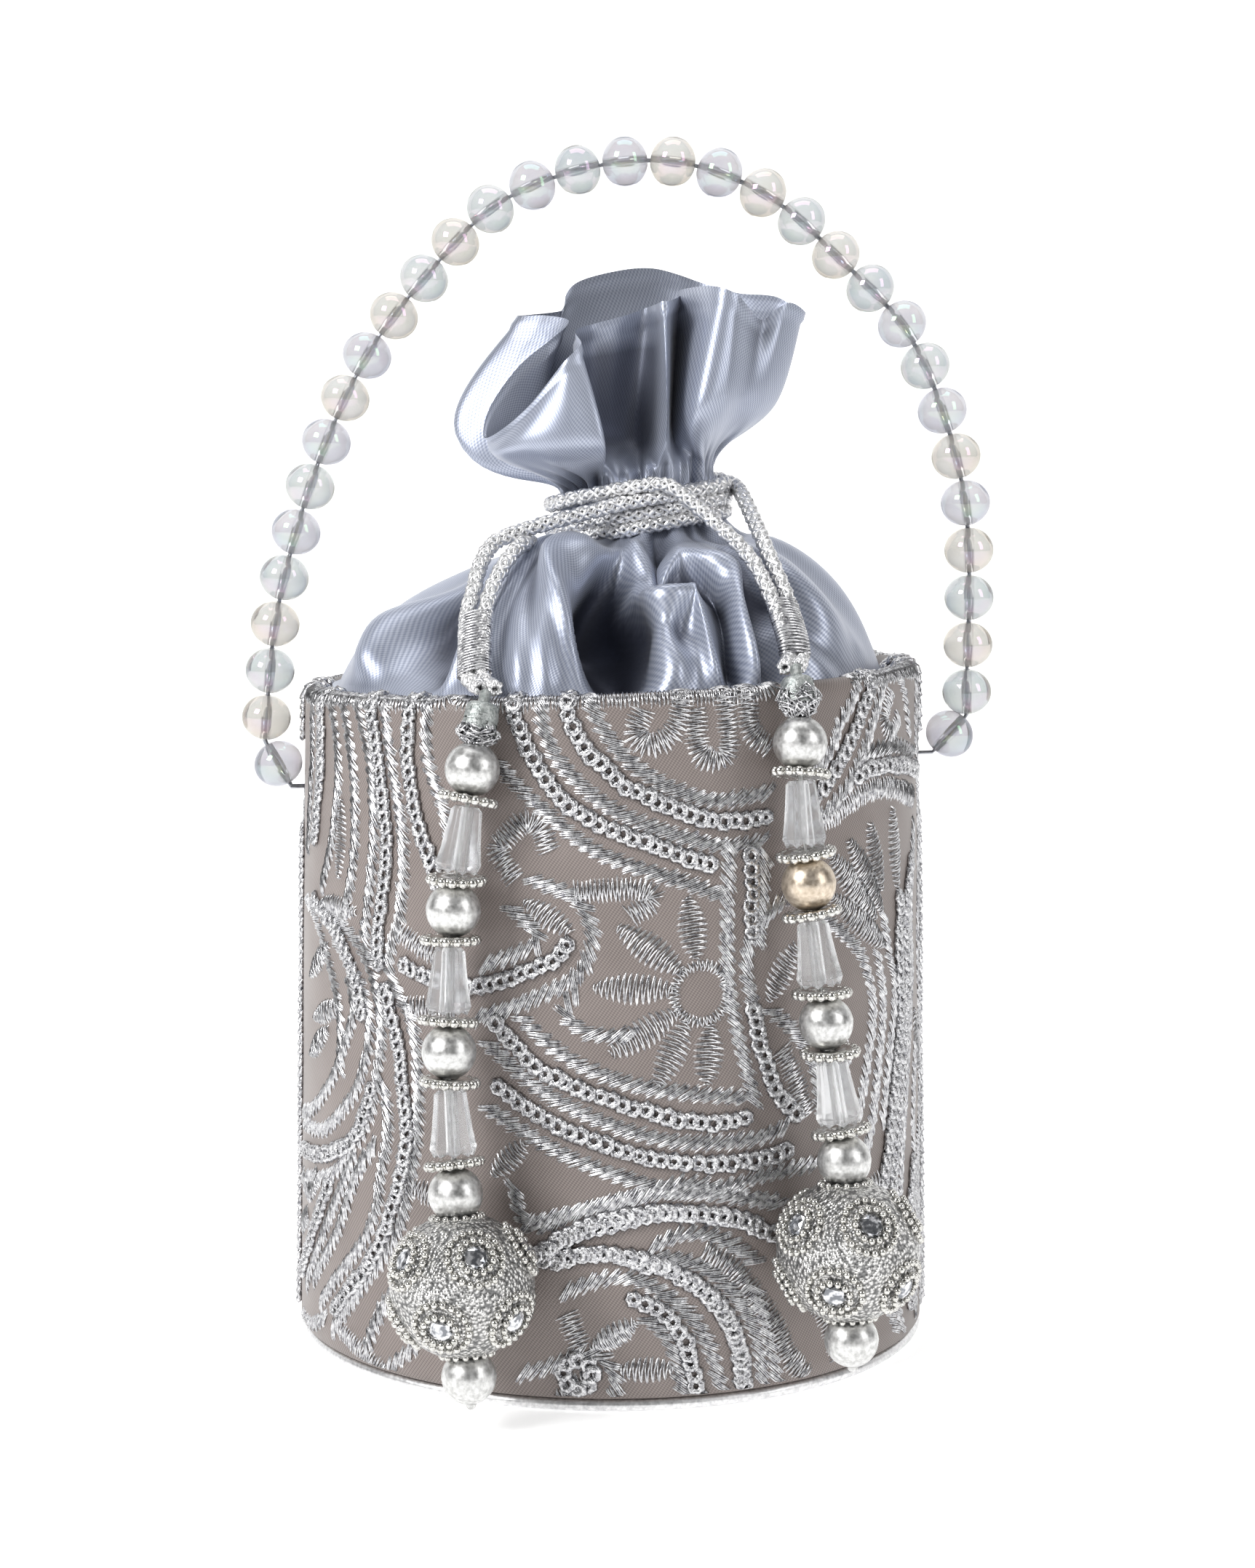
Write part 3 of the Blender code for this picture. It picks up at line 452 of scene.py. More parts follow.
def frames_along(points):
    """A direction and a pair of side vectors at each point, without sudden twists."""
    found = []
    side = None
    for i in range(len(points)):
        forward = step_at(points, i).normalized()
        if side is None:
            side = forward.orthogonal().normalized()
        side = (side - forward * side.dot(forward)).normalized()
        found.append((forward, side, forward.cross(side)))
    return found


def rope_mesh(centres, radius, sides):
    """Points and faces of a round rope through the centres."""
    points = []
    for centre, (_, side, up) in zip(centres, frames_along(centres)):
        for k in range(sides):
            turn = 2 * math.pi * k / sides
            points.append(centre + (side * math.cos(turn) + up * math.sin(turn)) * radius)
    rows = len(centres)
    faces = grid_faces(rows, sides, False)
    faces.append(tuple(range(sides)))
    faces.append(tuple(reversed(range((rows - 1) * sides, rows * sides))))
    return points, faces


def braid(route):
    """Strands wound both ways round the route, each passing over and under the others."""
    spaces = frames_along(route)
    travelled = [0.0]
    for a, b in zip(route, route[1:]):
        travelled.append(travelled[-1] + (b - a).length)
    parts = []
    for way in (1, -1):
        for k in range(STRANDS_EACH_WAY):
            strand = []
            for point, far, (_, side, up) in zip(route, travelled, spaces):
                wound = 2 * math.pi * far / BRAID_PITCH
                turn = way * wound + 2 * math.pi * k / STRANDS_EACH_WAY
                weave = math.cos(STRANDS_EACH_WAY * wound + math.pi * k)
                out = BRAID_RADIUS + way * BRAID_WAVE * weave
                strand.append(point + (side * math.cos(turn) + up * math.sin(turn)) * out)
            parts.append(rope_mesh(strand, STRAND_RADIUS, STRAND_SIDES))
    return join_parts(parts)


def make_drawcord(tassel, lower, upper, turns):
    route = cord_route(tassel, lower, upper, turns)
    points, faces = braid(route)
    name = f"{tassel.side}_braided_cord"
    cord = piece_from(name, points, faces, braided_silver)
    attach(cord, "bag")
    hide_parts(f"drawcord_{tassel.side}")
    print(name, round(length_of(route) / MM), "mm long,", len(faces), "faces")


left_turns = make_turns(-82, -1095, -2.05 * WRAP_PITCH, 0.0, CROSSING)
right_turns = make_turns(82, 374, 0.95 * WRAP_PITCH, CROSSING, CROSSING, (1.4, 0.5))
make_drawcord(LEFT_TASSEL, LEFT_LOWER, LEFT_UPPER, left_turns)
make_drawcord(RIGHT_TASSEL, RIGHT_LOWER, RIGHT_UPPER, right_turns)

# %% [markdown]
# ## The handle
# Round beads are strung tightly on a stiff wire. The glass is clear, with a thin coating that reflects a
# little of every colour. Blender's shader has such a film built in, so no colours are painted. The wire
# shows through each bead as a grey line, and it shows bent where the glass acts as a lens.

# %% Glass and wire


def coated_glass(name, film_nanometres, tint):
    made, tree, shader = new_finish(name)
    shader.inputs["Transmission Weight"].default_value = 0.78
    shader.inputs["IOR"].default_value = 1.50
    shader.inputs["Thin Film Thickness"].default_value = film_nanometres
    shader.inputs["Thin Film IOR"].default_value = 1.66
    cloud = object_noise(tree, 160.0, 2.0).outputs["Fac"]
    colour_and_shine(tree, shader, cloud, (tint, (0.74, 0.74, 0.74)), (0.02, 0.08))
    return made


bead_glasses = [
    coated_glass("glass_lilac", 420.0, (0.60, 0.59, 0.64)),
    coated_glass("glass_cream", 330.0, (0.67, 0.65, 0.60)),
    coated_glass("glass_blue", 520.0, (0.56, 0.60, 0.64)),
]
grey_wire = metal_finish(
    "grey_wire", (0.26, 0.27, 0.30), (0.44, 0.45, 0.48), 0.40, 0.8 * MM, 0.3, 0.05 * MM
)
print("glasses:", [glass.name for glass in bead_glasses])

# %% Beads along the arch
PIVOT_LEFT = Vector((-62.3, 0, 110.2)) * MM
PIVOT_RIGHT = Vector((62.8, 0, 116.9)) * MM
WIRE_EXIT = 2.6 * MM
HANDLE_BEAD_RADIUS = 5.0 * MM
HANDLE_BEAD_LENGTH = 9.2 * MM
HANDLE_BEAD_BORE = 0.75 * MM
# Across and up, in millimetres, from the left knot over the top to the right one
HANDLE_ARCH = [
    (-70.2, 119.4), (-69.3, 130.5), (-67.4, 145.6), (-62.8, 163.6), (-56.4, 181.3), (-48.1, 197.9),
    (-36.5, 212.9), (-23.2, 226.2), (-5.5, 233.6), (13.7, 234.8), (31.8, 228.0), (46.2, 215.4),
    (59.0, 202.0), (66.8, 185.1), (71.5, 166.9), (72.4, 147.9), (72.2, 134.5), (72.2, 124.6),
]


def bored_bead(radius, half_length, bore, rings, segments, seam=0.0):
    """Points and faces of a smooth bead with a hole along Z. A seam may stand up round its middle."""
    start = math.acos(bore / radius)
    profile = []
    for i in range(rings + 1):
        turn = start - 2 * start * i / rings
        reach = radius + (seam if 2 * i == rings else 0.0)
        profile.append((reach * math.cos(turn), half_length * math.sin(turn)))
    return lathe(profile, segments, closed=True)


def make_handle_beads():
    across = (PIVOT_RIGHT - PIVOT_LEFT).normalized()
    knots = [Vector((x, 0, z)) * MM for x, z in HANDLE_ARCH]
    length = length_of(evenly_along(knots, spacing=1.0 * MM))
    count = int(length / (HANDLE_BEAD_LENGTH + GAP))
    halves = evenly_along(knots, count=2 * count + 1)
    left_exit = PIVOT_LEFT - across * WIRE_EXIT
    right_exit = PIVOT_RIGHT + across * WIRE_EXIT
    seats = [((left_exit + halves[0]) / 2, halves[0] - left_exit)]
    for i in range(count):
        seats.append((halves[2 * i + 1], halves[2 * i + 2] - halves[2 * i]))
    seats.append(((halves[-1] + right_exit) / 2, right_exit - halves[-1]))
    points, faces = bored_bead(HANDLE_BEAD_RADIUS, HANDLE_BEAD_LENGTH / 2, HANDLE_BEAD_BORE, 18, 28)
    for i, (centre, direction) in enumerate(seats):
        place = Matrix.Translation(centre) @ along(direction)
        # The three films come in an uneven order, as beads from a mixed string do.
        glass = bead_glasses[(i * 7 + i // 3) % 3]
        bead = piece_from(f"glass_bead_{i + 1:02d}", moved(points, place), faces, glass)
        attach(bead, "handle")
        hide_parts(f"handle_bead_{i + 1:02d}")
    return [left_exit] + [halves[0]] + halves[1::2] + [halves[-1], right_exit]


wire_line = make_handle_beads()
print("glass beads:", len(wire_line) - 2)

# %% The wire: a stiff dark one with a paler twisted one beside it
WIRE_RADII = (0.341 * MM, 0.275 * MM)
WIRE_ENDS_INSIDE = Vector((3.5, 0, 0)) * MM
WIRE_TWIST = 14  # points along the wire in one twist


def twisted_pair(line, points_a_twist, radii, beside):
    """Two threads that turn round a line. The function beside gives a thread's place by its turn."""
    parts = []
    for k, radius in enumerate(radii):
        turns = [2 * math.pi * i / points_a_twist + math.pi * k for i in range(len(line))]
        thread = [point + beside(turn) for point, turn in zip(line, turns)]
        parts.append(rope_mesh(thread, radius, 6))
    return parts


def beside_wire(turn):
    sideways = 0.16 * math.cos(turn)
    return Vector((sideways, 0.42 * math.sin(turn), sideways)) * MM


def make_wire(line):
    smooth = evenly_along(line, spacing=0.9 * MM)
    inner = [PIVOT_LEFT + WIRE_ENDS_INSIDE] + smooth + [PIVOT_RIGHT - WIRE_ENDS_INSIDE]
    points, faces = join_parts(twisted_pair(inner, WIRE_TWIST, WIRE_RADII, beside_wire))
    wire = piece_from("twisted_wire", points, faces, grey_wire)
    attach(wire, "handle")
    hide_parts("handle_wire")
    print("wire:", len(inner), "points along it")


make_wire(wire_line)

# %% [markdown]
# ## The tassels
# Each tassel is a chain on one string: a wrapped cap, a round bead, a clear cone, and so on down to the
# jewelled ball. The frame knows how each link leans, so the same leans are used here to find the place
# and direction of every piece. A piece is then made upright round its own axis and turned into place.

# %% The chain of links
LINKS = ("cap", "bead_1", "cone_1", "bead_2", "cone_2", "bead_3", "cone_3", "bead_4", "ball", "end_bead")
CAP_OUTWARD_LEAN = 19.0
BEAD_RADIUS = 5.0 * MM
SPACER_THICKNESS = 2.0 * MM
SPACER_OVERLAP = 0.5 * MM
CONE_LENGTH = 12.2 * MM
BALL_RADIUS = 13.2 * MM
BALL_BORE = 3.6 * MM
STRING_BORE = 1.3 * MM
STEM_LENGTH = 2.0 * MM
CAP_LENGTH = 4.8 * MM
KNOT_LENGTH = 2.2 * MM
BEAD_UNIT = 2 * (BEAD_RADIUS + SPACER_THICKNESS - SPACER_OVERLAP)
POLE = math.sqrt(BEAD_RADIUS**2 - STRING_BORE**2)
BALL_SEAT = math.sqrt(BALL_RADIUS**2 - BALL_BORE**2) + math.sqrt(BEAD_RADIUS**2 - BALL_BORE**2) + GAP
LINK_LENGTHS = {
    "cap": STEM_LENGTH + CAP_LENGTH + KNOT_LENGTH + GAP,
    "bead_1": POLE + BEAD_UNIT / 2 + GAP,
    "cone_1": CONE_LENGTH + GAP,
    "bead_2": BEAD_UNIT + GAP,
    "cone_2": CONE_LENGTH + GAP,
    "bead_3": BEAD_UNIT + GAP,
    "cone_3": CONE_LENGTH + GAP,
    "bead_4": BEAD_UNIT / 2,
    "ball": BALL_SEAT,
    "end_bead": BALL_SEAT,
}


def hang(tassel):
    """Start point and downward direction of each link, from the hinge down."""
    place = tassel.hinge.copy()
    found = {}
    for name, lean in zip(LINKS, tassel.leans):
        side = math.radians(lean)
        forward = math.radians(CAP_OUTWARD_LEAN if name == "cap" else tassel.outward_lean)
        down = (
            tassel.across * math.sin(side)
            + tassel.out * math.cos(side) * math.sin(forward)
            - Vector((0, 0, 1)) * math.cos(side) * math.cos(forward)
        )
        found[name] = (place.copy(), down)
        place += down * LINK_LENGTHS[name]
    found["foot"] = (place, down)
    return found


def upright_at(place, down):
    """The matrix that puts a piece made round +Z on the string, with +Z pointing back up it."""
    return Matrix.Translation(place) @ along(-down)


chains = {"left": hang(LEFT_TASSEL), "right": hang(RIGHT_TASSEL)}
for side_name, chain in chains.items():
    start, end = chain["cap"][0], chain["foot"][0]
    print(side_name, "tassel hangs", round((start - end).length / MM), "mm")

# %% [markdown]
# ## Beads and granulated rings
# The round beads are cast and plated, and some still show the mould's seam, so each gets a fine raised
# line round it. The rings beside them are granulated: a row of tiny balls sits round a flat ring. The
# ball shape of each granule is what catches the light, so each one is real geometry.

# %% Small round parts


def granule(centre, radius, rings=4, segments=6):
    """A tiny ball."""
    points = [centre + Vector((0, 0, radius))]
    for i in range(1, rings):
        up = math.pi * i / rings
        for k in range(segments):
            turn = 2 * math.pi * k / segments
            points.append(centre + round_z(math.sin(up), turn, math.cos(up)) * radius)
    points.append(centre - Vector((0, 0, radius)))
    faces = [(0, 1 + k, 1 + (k + 1) % segments) for k in range(segments)]
    faces += renumbered(grid_faces(rings - 1, segments, False), 1)
    last = len(points) - 1
    base = 1 + (rings - 2) * segments
    faces += [(last, base + (k + 1) % segments, base + k) for k in range(segments)]
    return points, faces


def granule_circle(count, radius, size, height=0.0, facing=Matrix()):
    """Granules in a circle round +Z, in millimetres. The whole circle may be turned to face elsewhere."""
    spots = [round_z(radius, 2 * math.pi * k / count, height) * MM for k in range(count)]
    return [granule(facing @ spot, size * MM) for spot in spots]


MOULD_SEAM = 0.05 * MM
HOLE = STRING_BORE / MM
RING_CIRCLE = (15, 4.75, 0.98)  # granules, circle's radius and granule's radius
# Radius and height, in millimetres, of the corners of the flat ring
RING_BAND = [(HOLE, 0.55), (3.9, 0.75), (4.6, 0.45), (4.6, -0.45), (3.9, -0.75), (HOLE, -0.55)]


def granulated_ring():
    """A flat ring round the string's axis, with granules round its edge."""
    band = lathe([(radius * MM, height * MM) for radius, height in RING_BAND], 34, closed=True)
    return join_parts([band] + granule_circle(*RING_CIRCLE))


def plated_bead_mesh():
    """A smooth bored bead with the mould's fine seam round its middle."""
    return bored_bead(BEAD_RADIUS, BEAD_RADIUS, STRING_BORE, 22, 32, MOULD_SEAM)

# %% Each bead with its rings
RING_AT = BEAD_UNIT / 2 - SPACER_THICKNESS / 2
# The rings' holes are a little wide for the string, so each ring lies tipped on its bead.
RING_TIP = math.radians(5.5)


def make_tassel_bead(tassel, number):
    chain = chains[tassel.side]
    name = f"bead_{number}"
    place, down = chain[name]
    to_centre = BEAD_UNIT / 2 if number > 1 else POLE
    spot = upright_at(place + down * to_centre, down)
    finish = champagne_bead if number == tassel.gold_bead else plated_bead
    points, faces = plated_bead_mesh()
    bead = piece_from(f"{tassel.side}_plated_{name}", moved(points, spot), faces, finish)
    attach(bead, f"{tassel.side}_strand")
    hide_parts(f"{tassel.side}_{name}")
    for word, way, offset in (("upper", 1, 0.9), ("lower", -1, 0.0)):
        # No ring stands between the cap and the first bead, or between the last bead and the ball.
        if (word, number) in (("upper", 1), ("lower", 4)):
            continue
        tipped = Matrix.Rotation(RING_TIP, 4, round_z(1.0, 2.4 * number + offset))
        at_bead = Matrix.Translation((0, 0, way * RING_AT)) @ tipped
        points, faces = granulated_ring()
        points = moved(moved(points, at_bead), spot)
        ring = piece_from(f"{tassel.side}_{word}_ring_{number}", points, faces, bright_silver)
        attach(ring, f"{tassel.side}_strand")


for tassel in TASSELS:
    for number in (1, 2, 3, 4):
        make_tassel_bead(tassel, number)
print("plated beads: 8, granulated rings: 12")

# %% [markdown]
# ## Clear cones
# The cones are moulded acrylic with flat facets and a slightly frosted skin. Flat shading keeps the
# facets crisp. The string shows through them, because their walls are clear and their bore is real.

# %% Acrylic


def frosted_acrylic():
    """Milky acrylic with streaks that run down the cone, as the plastic flowed in its mould."""
    made, tree, shader = new_finish("frosted_acrylic")
    shader.inputs["Transmission Weight"].default_value = 0.85
    shader.inputs["IOR"].default_value = 1.40
    streaks = object_noise(tree, 700.0, 3.0)
    stretched = tree.nodes.new("ShaderNodeMapping")
    stretched.inputs["Scale"].default_value = (1.0, 1.0, 0.12)
    source = streaks.inputs["Vector"].links[0].from_socket
    tree.links.new(source, stretched.inputs["Vector"])
    tree.links.new(stretched.outputs["Vector"], streaks.inputs["Vector"])
    colours = ((0.86, 0.87, 0.89), (1.0, 1.0, 1.0))
    colour_and_shine(tree, shader, streaks.outputs["Fac"], colours, (0.12, 0.34))
    add_bump(tree, shader, streaks.outputs["Fac"], 0.3, 0.1 * MM)
    return made


clear_acrylic = frosted_acrylic()

# %% The cone's facets
CONE_FACETS = 8
# Radius and height, in millimetres, of each level from the top to the foot.
CONE_LEVELS = [(2.2, 0.0), (2.95, -0.7), (3.2, -3.2), (3.75, -7.6), (4.3, -10.6), (3.7, -12.2)]
CONE_POINT = 0.9  # how far the foot's points reach below the notches between them, in millimetres
CONE_BORE = 0.9 * MM
CONE_BORE_LEVELS = (-CONE_LENGTH + 0.8 * MM, 0.0)


def facet_cone():
    """A cone of flat facets that flares towards its foot, where each facet ends in a small point."""
    points = []
    turns = [math.pi * k / CONE_FACETS for k in range(2 * CONE_FACETS)]
    foot = len(CONE_LEVELS) - 1
    for row, (radius, height) in enumerate(CONE_LEVELS):
        for k, turn in enumerate(turns):
            inward = math.cos(math.pi / CONE_FACETS) if k % 2 else 1.0
            lift = CONE_POINT if row == foot and k % 2 else 0.0
            reach = radius * (inward if 0 < row < foot else 0.98)
            points.append(round_z(reach, turn, height + lift) * MM)
    for height in CONE_BORE_LEVELS:
        points.extend(round_z(CONE_BORE, turn, height) for turn in turns)
    return points, grid_faces(len(CONE_LEVELS) + 2, len(turns))


for tassel in TASSELS:
    for number in (1, 2, 3):
        place, down = chains[tassel.side][f"cone_{number}"]
        spot = upright_at(place, down) @ Matrix.Rotation(math.radians(17 * number), 4, "Z")
        points, faces = facet_cone()
        name = f"{tassel.side}_clear_cone_{number}"
        cone = piece_from(name, moved(points, spot), faces, clear_acrylic, smooth=False)
        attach(cone, f"{tassel.side}_strand")
        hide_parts(f"{tassel.side}_cone_{number}")
print("clear cones: 6")

# %% [markdown]
# ## The jewelled balls
# A jeweller would solder granules all over a hollow ball and set a stone in a ring of larger granules at
# each medallion. The same is done here: fine granulation is a bump made of cells, while the larger
# granules and the cut stones are geometry, so that they sparkle as the ball turns.

# %% Stones and granulation


def cut_stone_finish():
    made, tree, shader = new_finish("cut_stone")
    shader.inputs["Metallic"].default_value = 0.85
    fire = object_noise(tree, 900.0, 1.0).outputs["Fac"]
    colours = ((0.22, 0.23, 0.25), (0.90, 0.91, 0.94))
    colour_and_shine(tree, shader, fire, colours, (0.02, 0.10), (0.42, 0.60))
    return made


def granulated_finish():
    made, tree, shader = new_finish("granulated_silver")
    shader.inputs["Metallic"].default_value = 1.0
    where = tree.nodes.new("ShaderNodeTexCoord")
    cells = tree.nodes.new("ShaderNodeTexVoronoi")
    cells.inputs["Scale"].default_value = 1400.0
    tree.links.new(where.outputs["Object"], cells.inputs["Vector"])
    # The colour is light in each cell's middle and dark at its edges: painted shade between the granules.
    from_middle = cells.outputs["Distance"]
    colours = ((0.94, 0.93, 0.91), (0.20, 0.20, 0.20))
    colour_and_shine(tree, shader, from_middle, colours, (0.15, 0.5), (0.18, 0.72))
    height = tree.nodes.new("ShaderNodeMath")
    height.operation = "SUBTRACT"
    height.inputs[0].default_value = 1.0
    tree.links.new(from_middle, height.inputs[1])
    add_bump(tree, shader, height.outputs["Value"], 1.0, 0.4 * MM)
    return made


cut_stone = cut_stone_finish()
granulated_silver = granulated_finish()

# %% The ball, its granules and its stones
STONE_RADIUS = 2.3 * MM
# For each row of eight corners: its share of the radius, its height in millimetres, and its turn.
STONE_ROWS = [(1.0, 0.0, 0.0), (0.82, 0.42, 0.5), (0.5, 0.72, 0.0)]
STONE_UP = Vector((0.3, 0.2, 1))  # not along any of the medallions, so each can be turned towards it
MEDALLIONS_A_RING = 5
# Two circles of granules round each stone: count, radius, granule's radius, and height over the ball.
MEDALLION_CIRCLES = ((13, 3.1, 0.72, 0.35), (20, 5.05, 0.76, -0.75))
POLE_CIRCLE = (16, 4.6, 0.7)
POLE_HEIGHT = 12.35


def medallion_directions():
    found = []
    for level, offset in ((28, 0), (-28, 36)):
        for i in range(MEDALLIONS_A_RING):
            turn = math.radians(360 / MEDALLIONS_A_RING * i + offset)
            up = math.radians(level)
            found.append(round_z(math.cos(up), turn, math.sin(up)))
    return found


def stone_mesh(facing):
    """A brilliant's crown: a flat table with two rows of facets round it."""
    points = []
    for reach, height, shift in STONE_ROWS:
        for k in range(8):
            turn = 2 * math.pi * (k + shift) / 8
            level = BALL_RADIUS + 0.1 * MM + height * MM
            points.append(facing @ round_z(STONE_RADIUS * reach, turn, level))
    faces = [tuple(range(16, 24))]
    for k in range(8):
        n = (k + 1) % 8
        faces += [(k, n, 8 + k), (n, 8 + n, 8 + k), (8 + k, 16 + n, 16 + k), (8 + k, 8 + n, 16 + n)]
    return points, faces


def ball_meshes():
    """The ball's body, its larger granules, and its stones, round the origin."""
    body = bored_bead(BALL_RADIUS, BALL_RADIUS, BALL_BORE, 30, 48)
    granules = []
    stones = []
    for direction in medallion_directions():
        facing = along(direction, STONE_UP)
        for *circle, level in MEDALLION_CIRCLES:
            granules += granule_circle(*circle, BALL_RADIUS / MM + level, facing)
        stones.append(stone_mesh(facing))
    granules += granule_circle(*POLE_CIRCLE, POLE_HEIGHT)
    granules += granule_circle(*POLE_CIRCLE, -POLE_HEIGHT)
    return body, join_parts(granules), join_parts(stones)


for tassel in TASSELS:
    place, down = chains[tassel.side]["ball"]
    spot = upright_at(place + down * BALL_SEAT, down)
    finishes = (granulated_silver, bright_silver, cut_stone)
    for word, (points, faces), finish in zip(("body", "granules", "stones"), ball_meshes(), finishes):
        part = piece_from(f"{tassel.side}_ball_{word}", moved(points, spot), faces, finish, word != "stones")
        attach(part, f"{tassel.side}_ball")
        if word == "body":
            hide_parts(f"{tassel.side}_ball")
print("jewelled balls: 2")

# %% [markdown]
# ## Strings, caps and knots
# A fine doubled thread runs through each tassel and is knotted under its last bead. At the top, a strip of
# silver tape is wound round the cord's ends, and the ends fray out below it into a small tuft. Above the
# cap the two strands of cord are whipped together with thread, all the way to the rim.

# %% Strings
THREAD_TWIST = 9  # points along the thread in one twist
THREAD_RADII = (0.24 * MM, 0.24 * MM)
END_KNOT_DEPTH = 5.0 * MM
END_KNOT_RADIUS = 1.0 * MM


def beside_thread(turn):
    return round_z(1.0, turn) * 0.2 * MM


def make_string(tassel):
    chain = chains[tassel.side]
    line = [chain[name][0] for name in LINKS[1:]] + [chain["foot"][0]]
    smooth = evenly_along(line, spacing=1.2 * MM)
    parts = twisted_pair(smooth, THREAD_TWIST, THREAD_RADII, beside_thread)
    foot, down = chain["foot"]
    spot = upright_at(foot, down)
    points, faces = plated_bead_mesh()
    parts.append((moved(points, spot), faces))
    knot = granule(spot @ Vector((0, 0, -END_KNOT_DEPTH)), END_KNOT_RADIUS, 6, 10)
    points, faces = join_parts(parts + [knot])
    string = piece_from(f"{tassel.side}_thread_and_end_bead", points, faces, plated_bead)
    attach(string, f"{tassel.side}_strand")
    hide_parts(f"{tassel.side}_string")


# %% Caps
# Radius and height, in millimetres, of the cap's core from its top to its foot.
CAP_CORE = [(0.0, 1.0), (1.05, 0.3), (1.1, -1.8), (2.5, -2.0), (2.95, -2.6), (2.95, -6.2), (1.9, -6.8)]
CAP_CORE += [(1.2, -7.6), (0.7, -8.1), (0.0, -8.1)]
TAPE_BANDS = 5
TAPE_TOP = -2.5
TAPE_PITCH = 0.86
TAPE_SLANT = 0.9
TAPE_RADIUS = 2.98
TAPE_POINTS = 24  # in one turn of the tape
TAPE_OVERLAP = 4  # points by which a band runs on after its first turn
TAPE_HALF_WIDTH = Vector((0, 0, 0.5)) * MM
FRAY_THREADS = 90
# The right knot has come apart more, so that its loops hide most of the tape.
FRAY_TOP = {"left": -5.6, "right": -2.6}
FRAY_FOOT = -9.5
FRAY_RADIUS = 1.8
FRAY_THREAD = 0.2 * MM


def make_cap(tassel, rng):
    """Tape wound in slanting turns round the cord's ends, with a loose knot of thread under it."""
    place, down = chains[tassel.side]["cap"]
    spot = upright_at(place, down)
    tape = [lathe([(radius * MM, height * MM) for radius, height in CAP_CORE], 24)]
    steps = TAPE_POINTS + TAPE_OVERLAP
    for k in range(TAPE_BANDS):
        ribbon = []
        for i in range(steps + 1):
            turn = 2 * math.pi * i / TAPE_POINTS + k * 1.3
            height = TAPE_TOP - k * TAPE_PITCH - TAPE_SLANT * i / TAPE_POINTS + 0.35 * math.sin(turn + k)
            reach = TAPE_RADIUS + 0.05 * k + 0.1 * math.sin(3 * turn + k)
            point = round_z(reach, turn, height) * MM
            ribbon.append(point + TAPE_HALF_WIDTH)
            ribbon.append(point - TAPE_HALF_WIDTH + Vector((point.x, point.y, 0)) * 0.04)
        tape.append((ribbon, [(2 * i, 2 * i + 1, 2 * i + 3, 2 * i + 2) for i in range(steps)]))
    frayed = []
    top = FRAY_TOP[tassel.side]
    for _ in range(FRAY_THREADS):
        turn = rng.uniform(0, 2 * math.pi)
        bulge = rng.uniform(0.9, 2.5)
        line = []
        for i in range(7):
            share = i / 6
            reach = FRAY_RADIUS + bulge * math.sin(math.pi * share) + rng.uniform(-0.2, 0.2)
            twist = turn + share * rng.uniform(-1.6, 1.6)
            height = top + (FRAY_FOOT - top) * share + rng.uniform(-0.3, 0.3)
            line.append(round_z(reach, twist, height) * MM)
        frayed.append(rope_mesh(line, FRAY_THREAD, 4))
    for word, parts, finish in (("wrapped_cap", tape, grey_tape), ("frayed_knot", frayed, silver_thread)):
        points, faces = join_parts(parts)
        piece = piece_from(f"{tassel.side}_{word}", moved(points, spot), faces, finish)
        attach(piece, f"{tassel.side}_cap")
        if word == "wrapped_cap":
            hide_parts(f"{tassel.side}_tassel_cap")

# %% Whipping, and all these parts made for both tassels
WHIPPING_PITCH = 0.62 * MM
WHIPPING_POINTS = 12
WHIPPING_HALF_WIDTH = 3.2 * MM
WHIPPING_HALF_DEPTH = 1.75 * MM
WHIPPING_THREAD = 0.28 * MM


def make_whipping(tassel, lower, upper):
    """Thread wound round both strands where they come up from the rim."""
    line = [rim_crossing(tassel)]
    for a, b in zip(lower[:2], upper[:2]):
        line.append((Vector(a) + Vector(b)) / 2 * MM)
    turns = round(length_of(line) / WHIPPING_PITCH)
    middle = evenly_along(line, count=turns * WHIPPING_POINTS)
    winding = []
    for i, (point, (forward, _, _)) in enumerate(zip(middle, frames_along(middle))):
        turn = 2 * math.pi * i / WHIPPING_POINTS
        side = (tassel.across - forward * tassel.across.dot(forward)).normalized()
        out = forward.cross(side)
        sideways = side * (math.cos(turn) * WHIPPING_HALF_WIDTH)
        winding.append(point + sideways + out * (math.sin(turn) * WHIPPING_HALF_DEPTH))
    points, faces = rope_mesh(winding, WHIPPING_THREAD, 5)
    wound = piece_from(f"{tassel.side}_whipping", points, faces, silver_thread)
    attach(wound, "bag")
    print(wound.name, turns, "turns,", len(faces), "faces")


rng = np.random.default_rng(7)
for tassel in TASSELS:
    make_string(tassel)
    make_cap(tassel, rng)
make_whipping(LEFT_TASSEL, LEFT_LOWER, LEFT_UPPER)
make_whipping(RIGHT_TASSEL, RIGHT_LOWER, RIGHT_UPPER)

# %% [markdown]
# ## The cover's cloth
# The bucket is a grey-board tube with taupe satin stretched over it, turned in over the rim and glued.
# One sheet does the whole skin: the bottom, the wall, the rolled edge and the turn-in. Its UVs are in
# metres along the cloth, so the weave keeps its size everywhere, and the fine ribs run round the wall.

# %% Taupe satin
COVER_SEGMENTS = 192
RIM_ROLL = FLANGE_IN / 2
TURN_IN = 9.0 * MM
PIPING_RADIUS = 1.1 * MM
WALL_FOOT = 2.9 * MM
WALL_ROWS = 34
ROLL_ROWS = 8
CLOTH_SKIN = 0.02 * MM  # how far the cloth is drawn outside its solid
SEAT_RADIUS = BASE_RADIUS - 2.5 * MM
ROLL_START = WALL_HEIGHT - RIM_ROLL


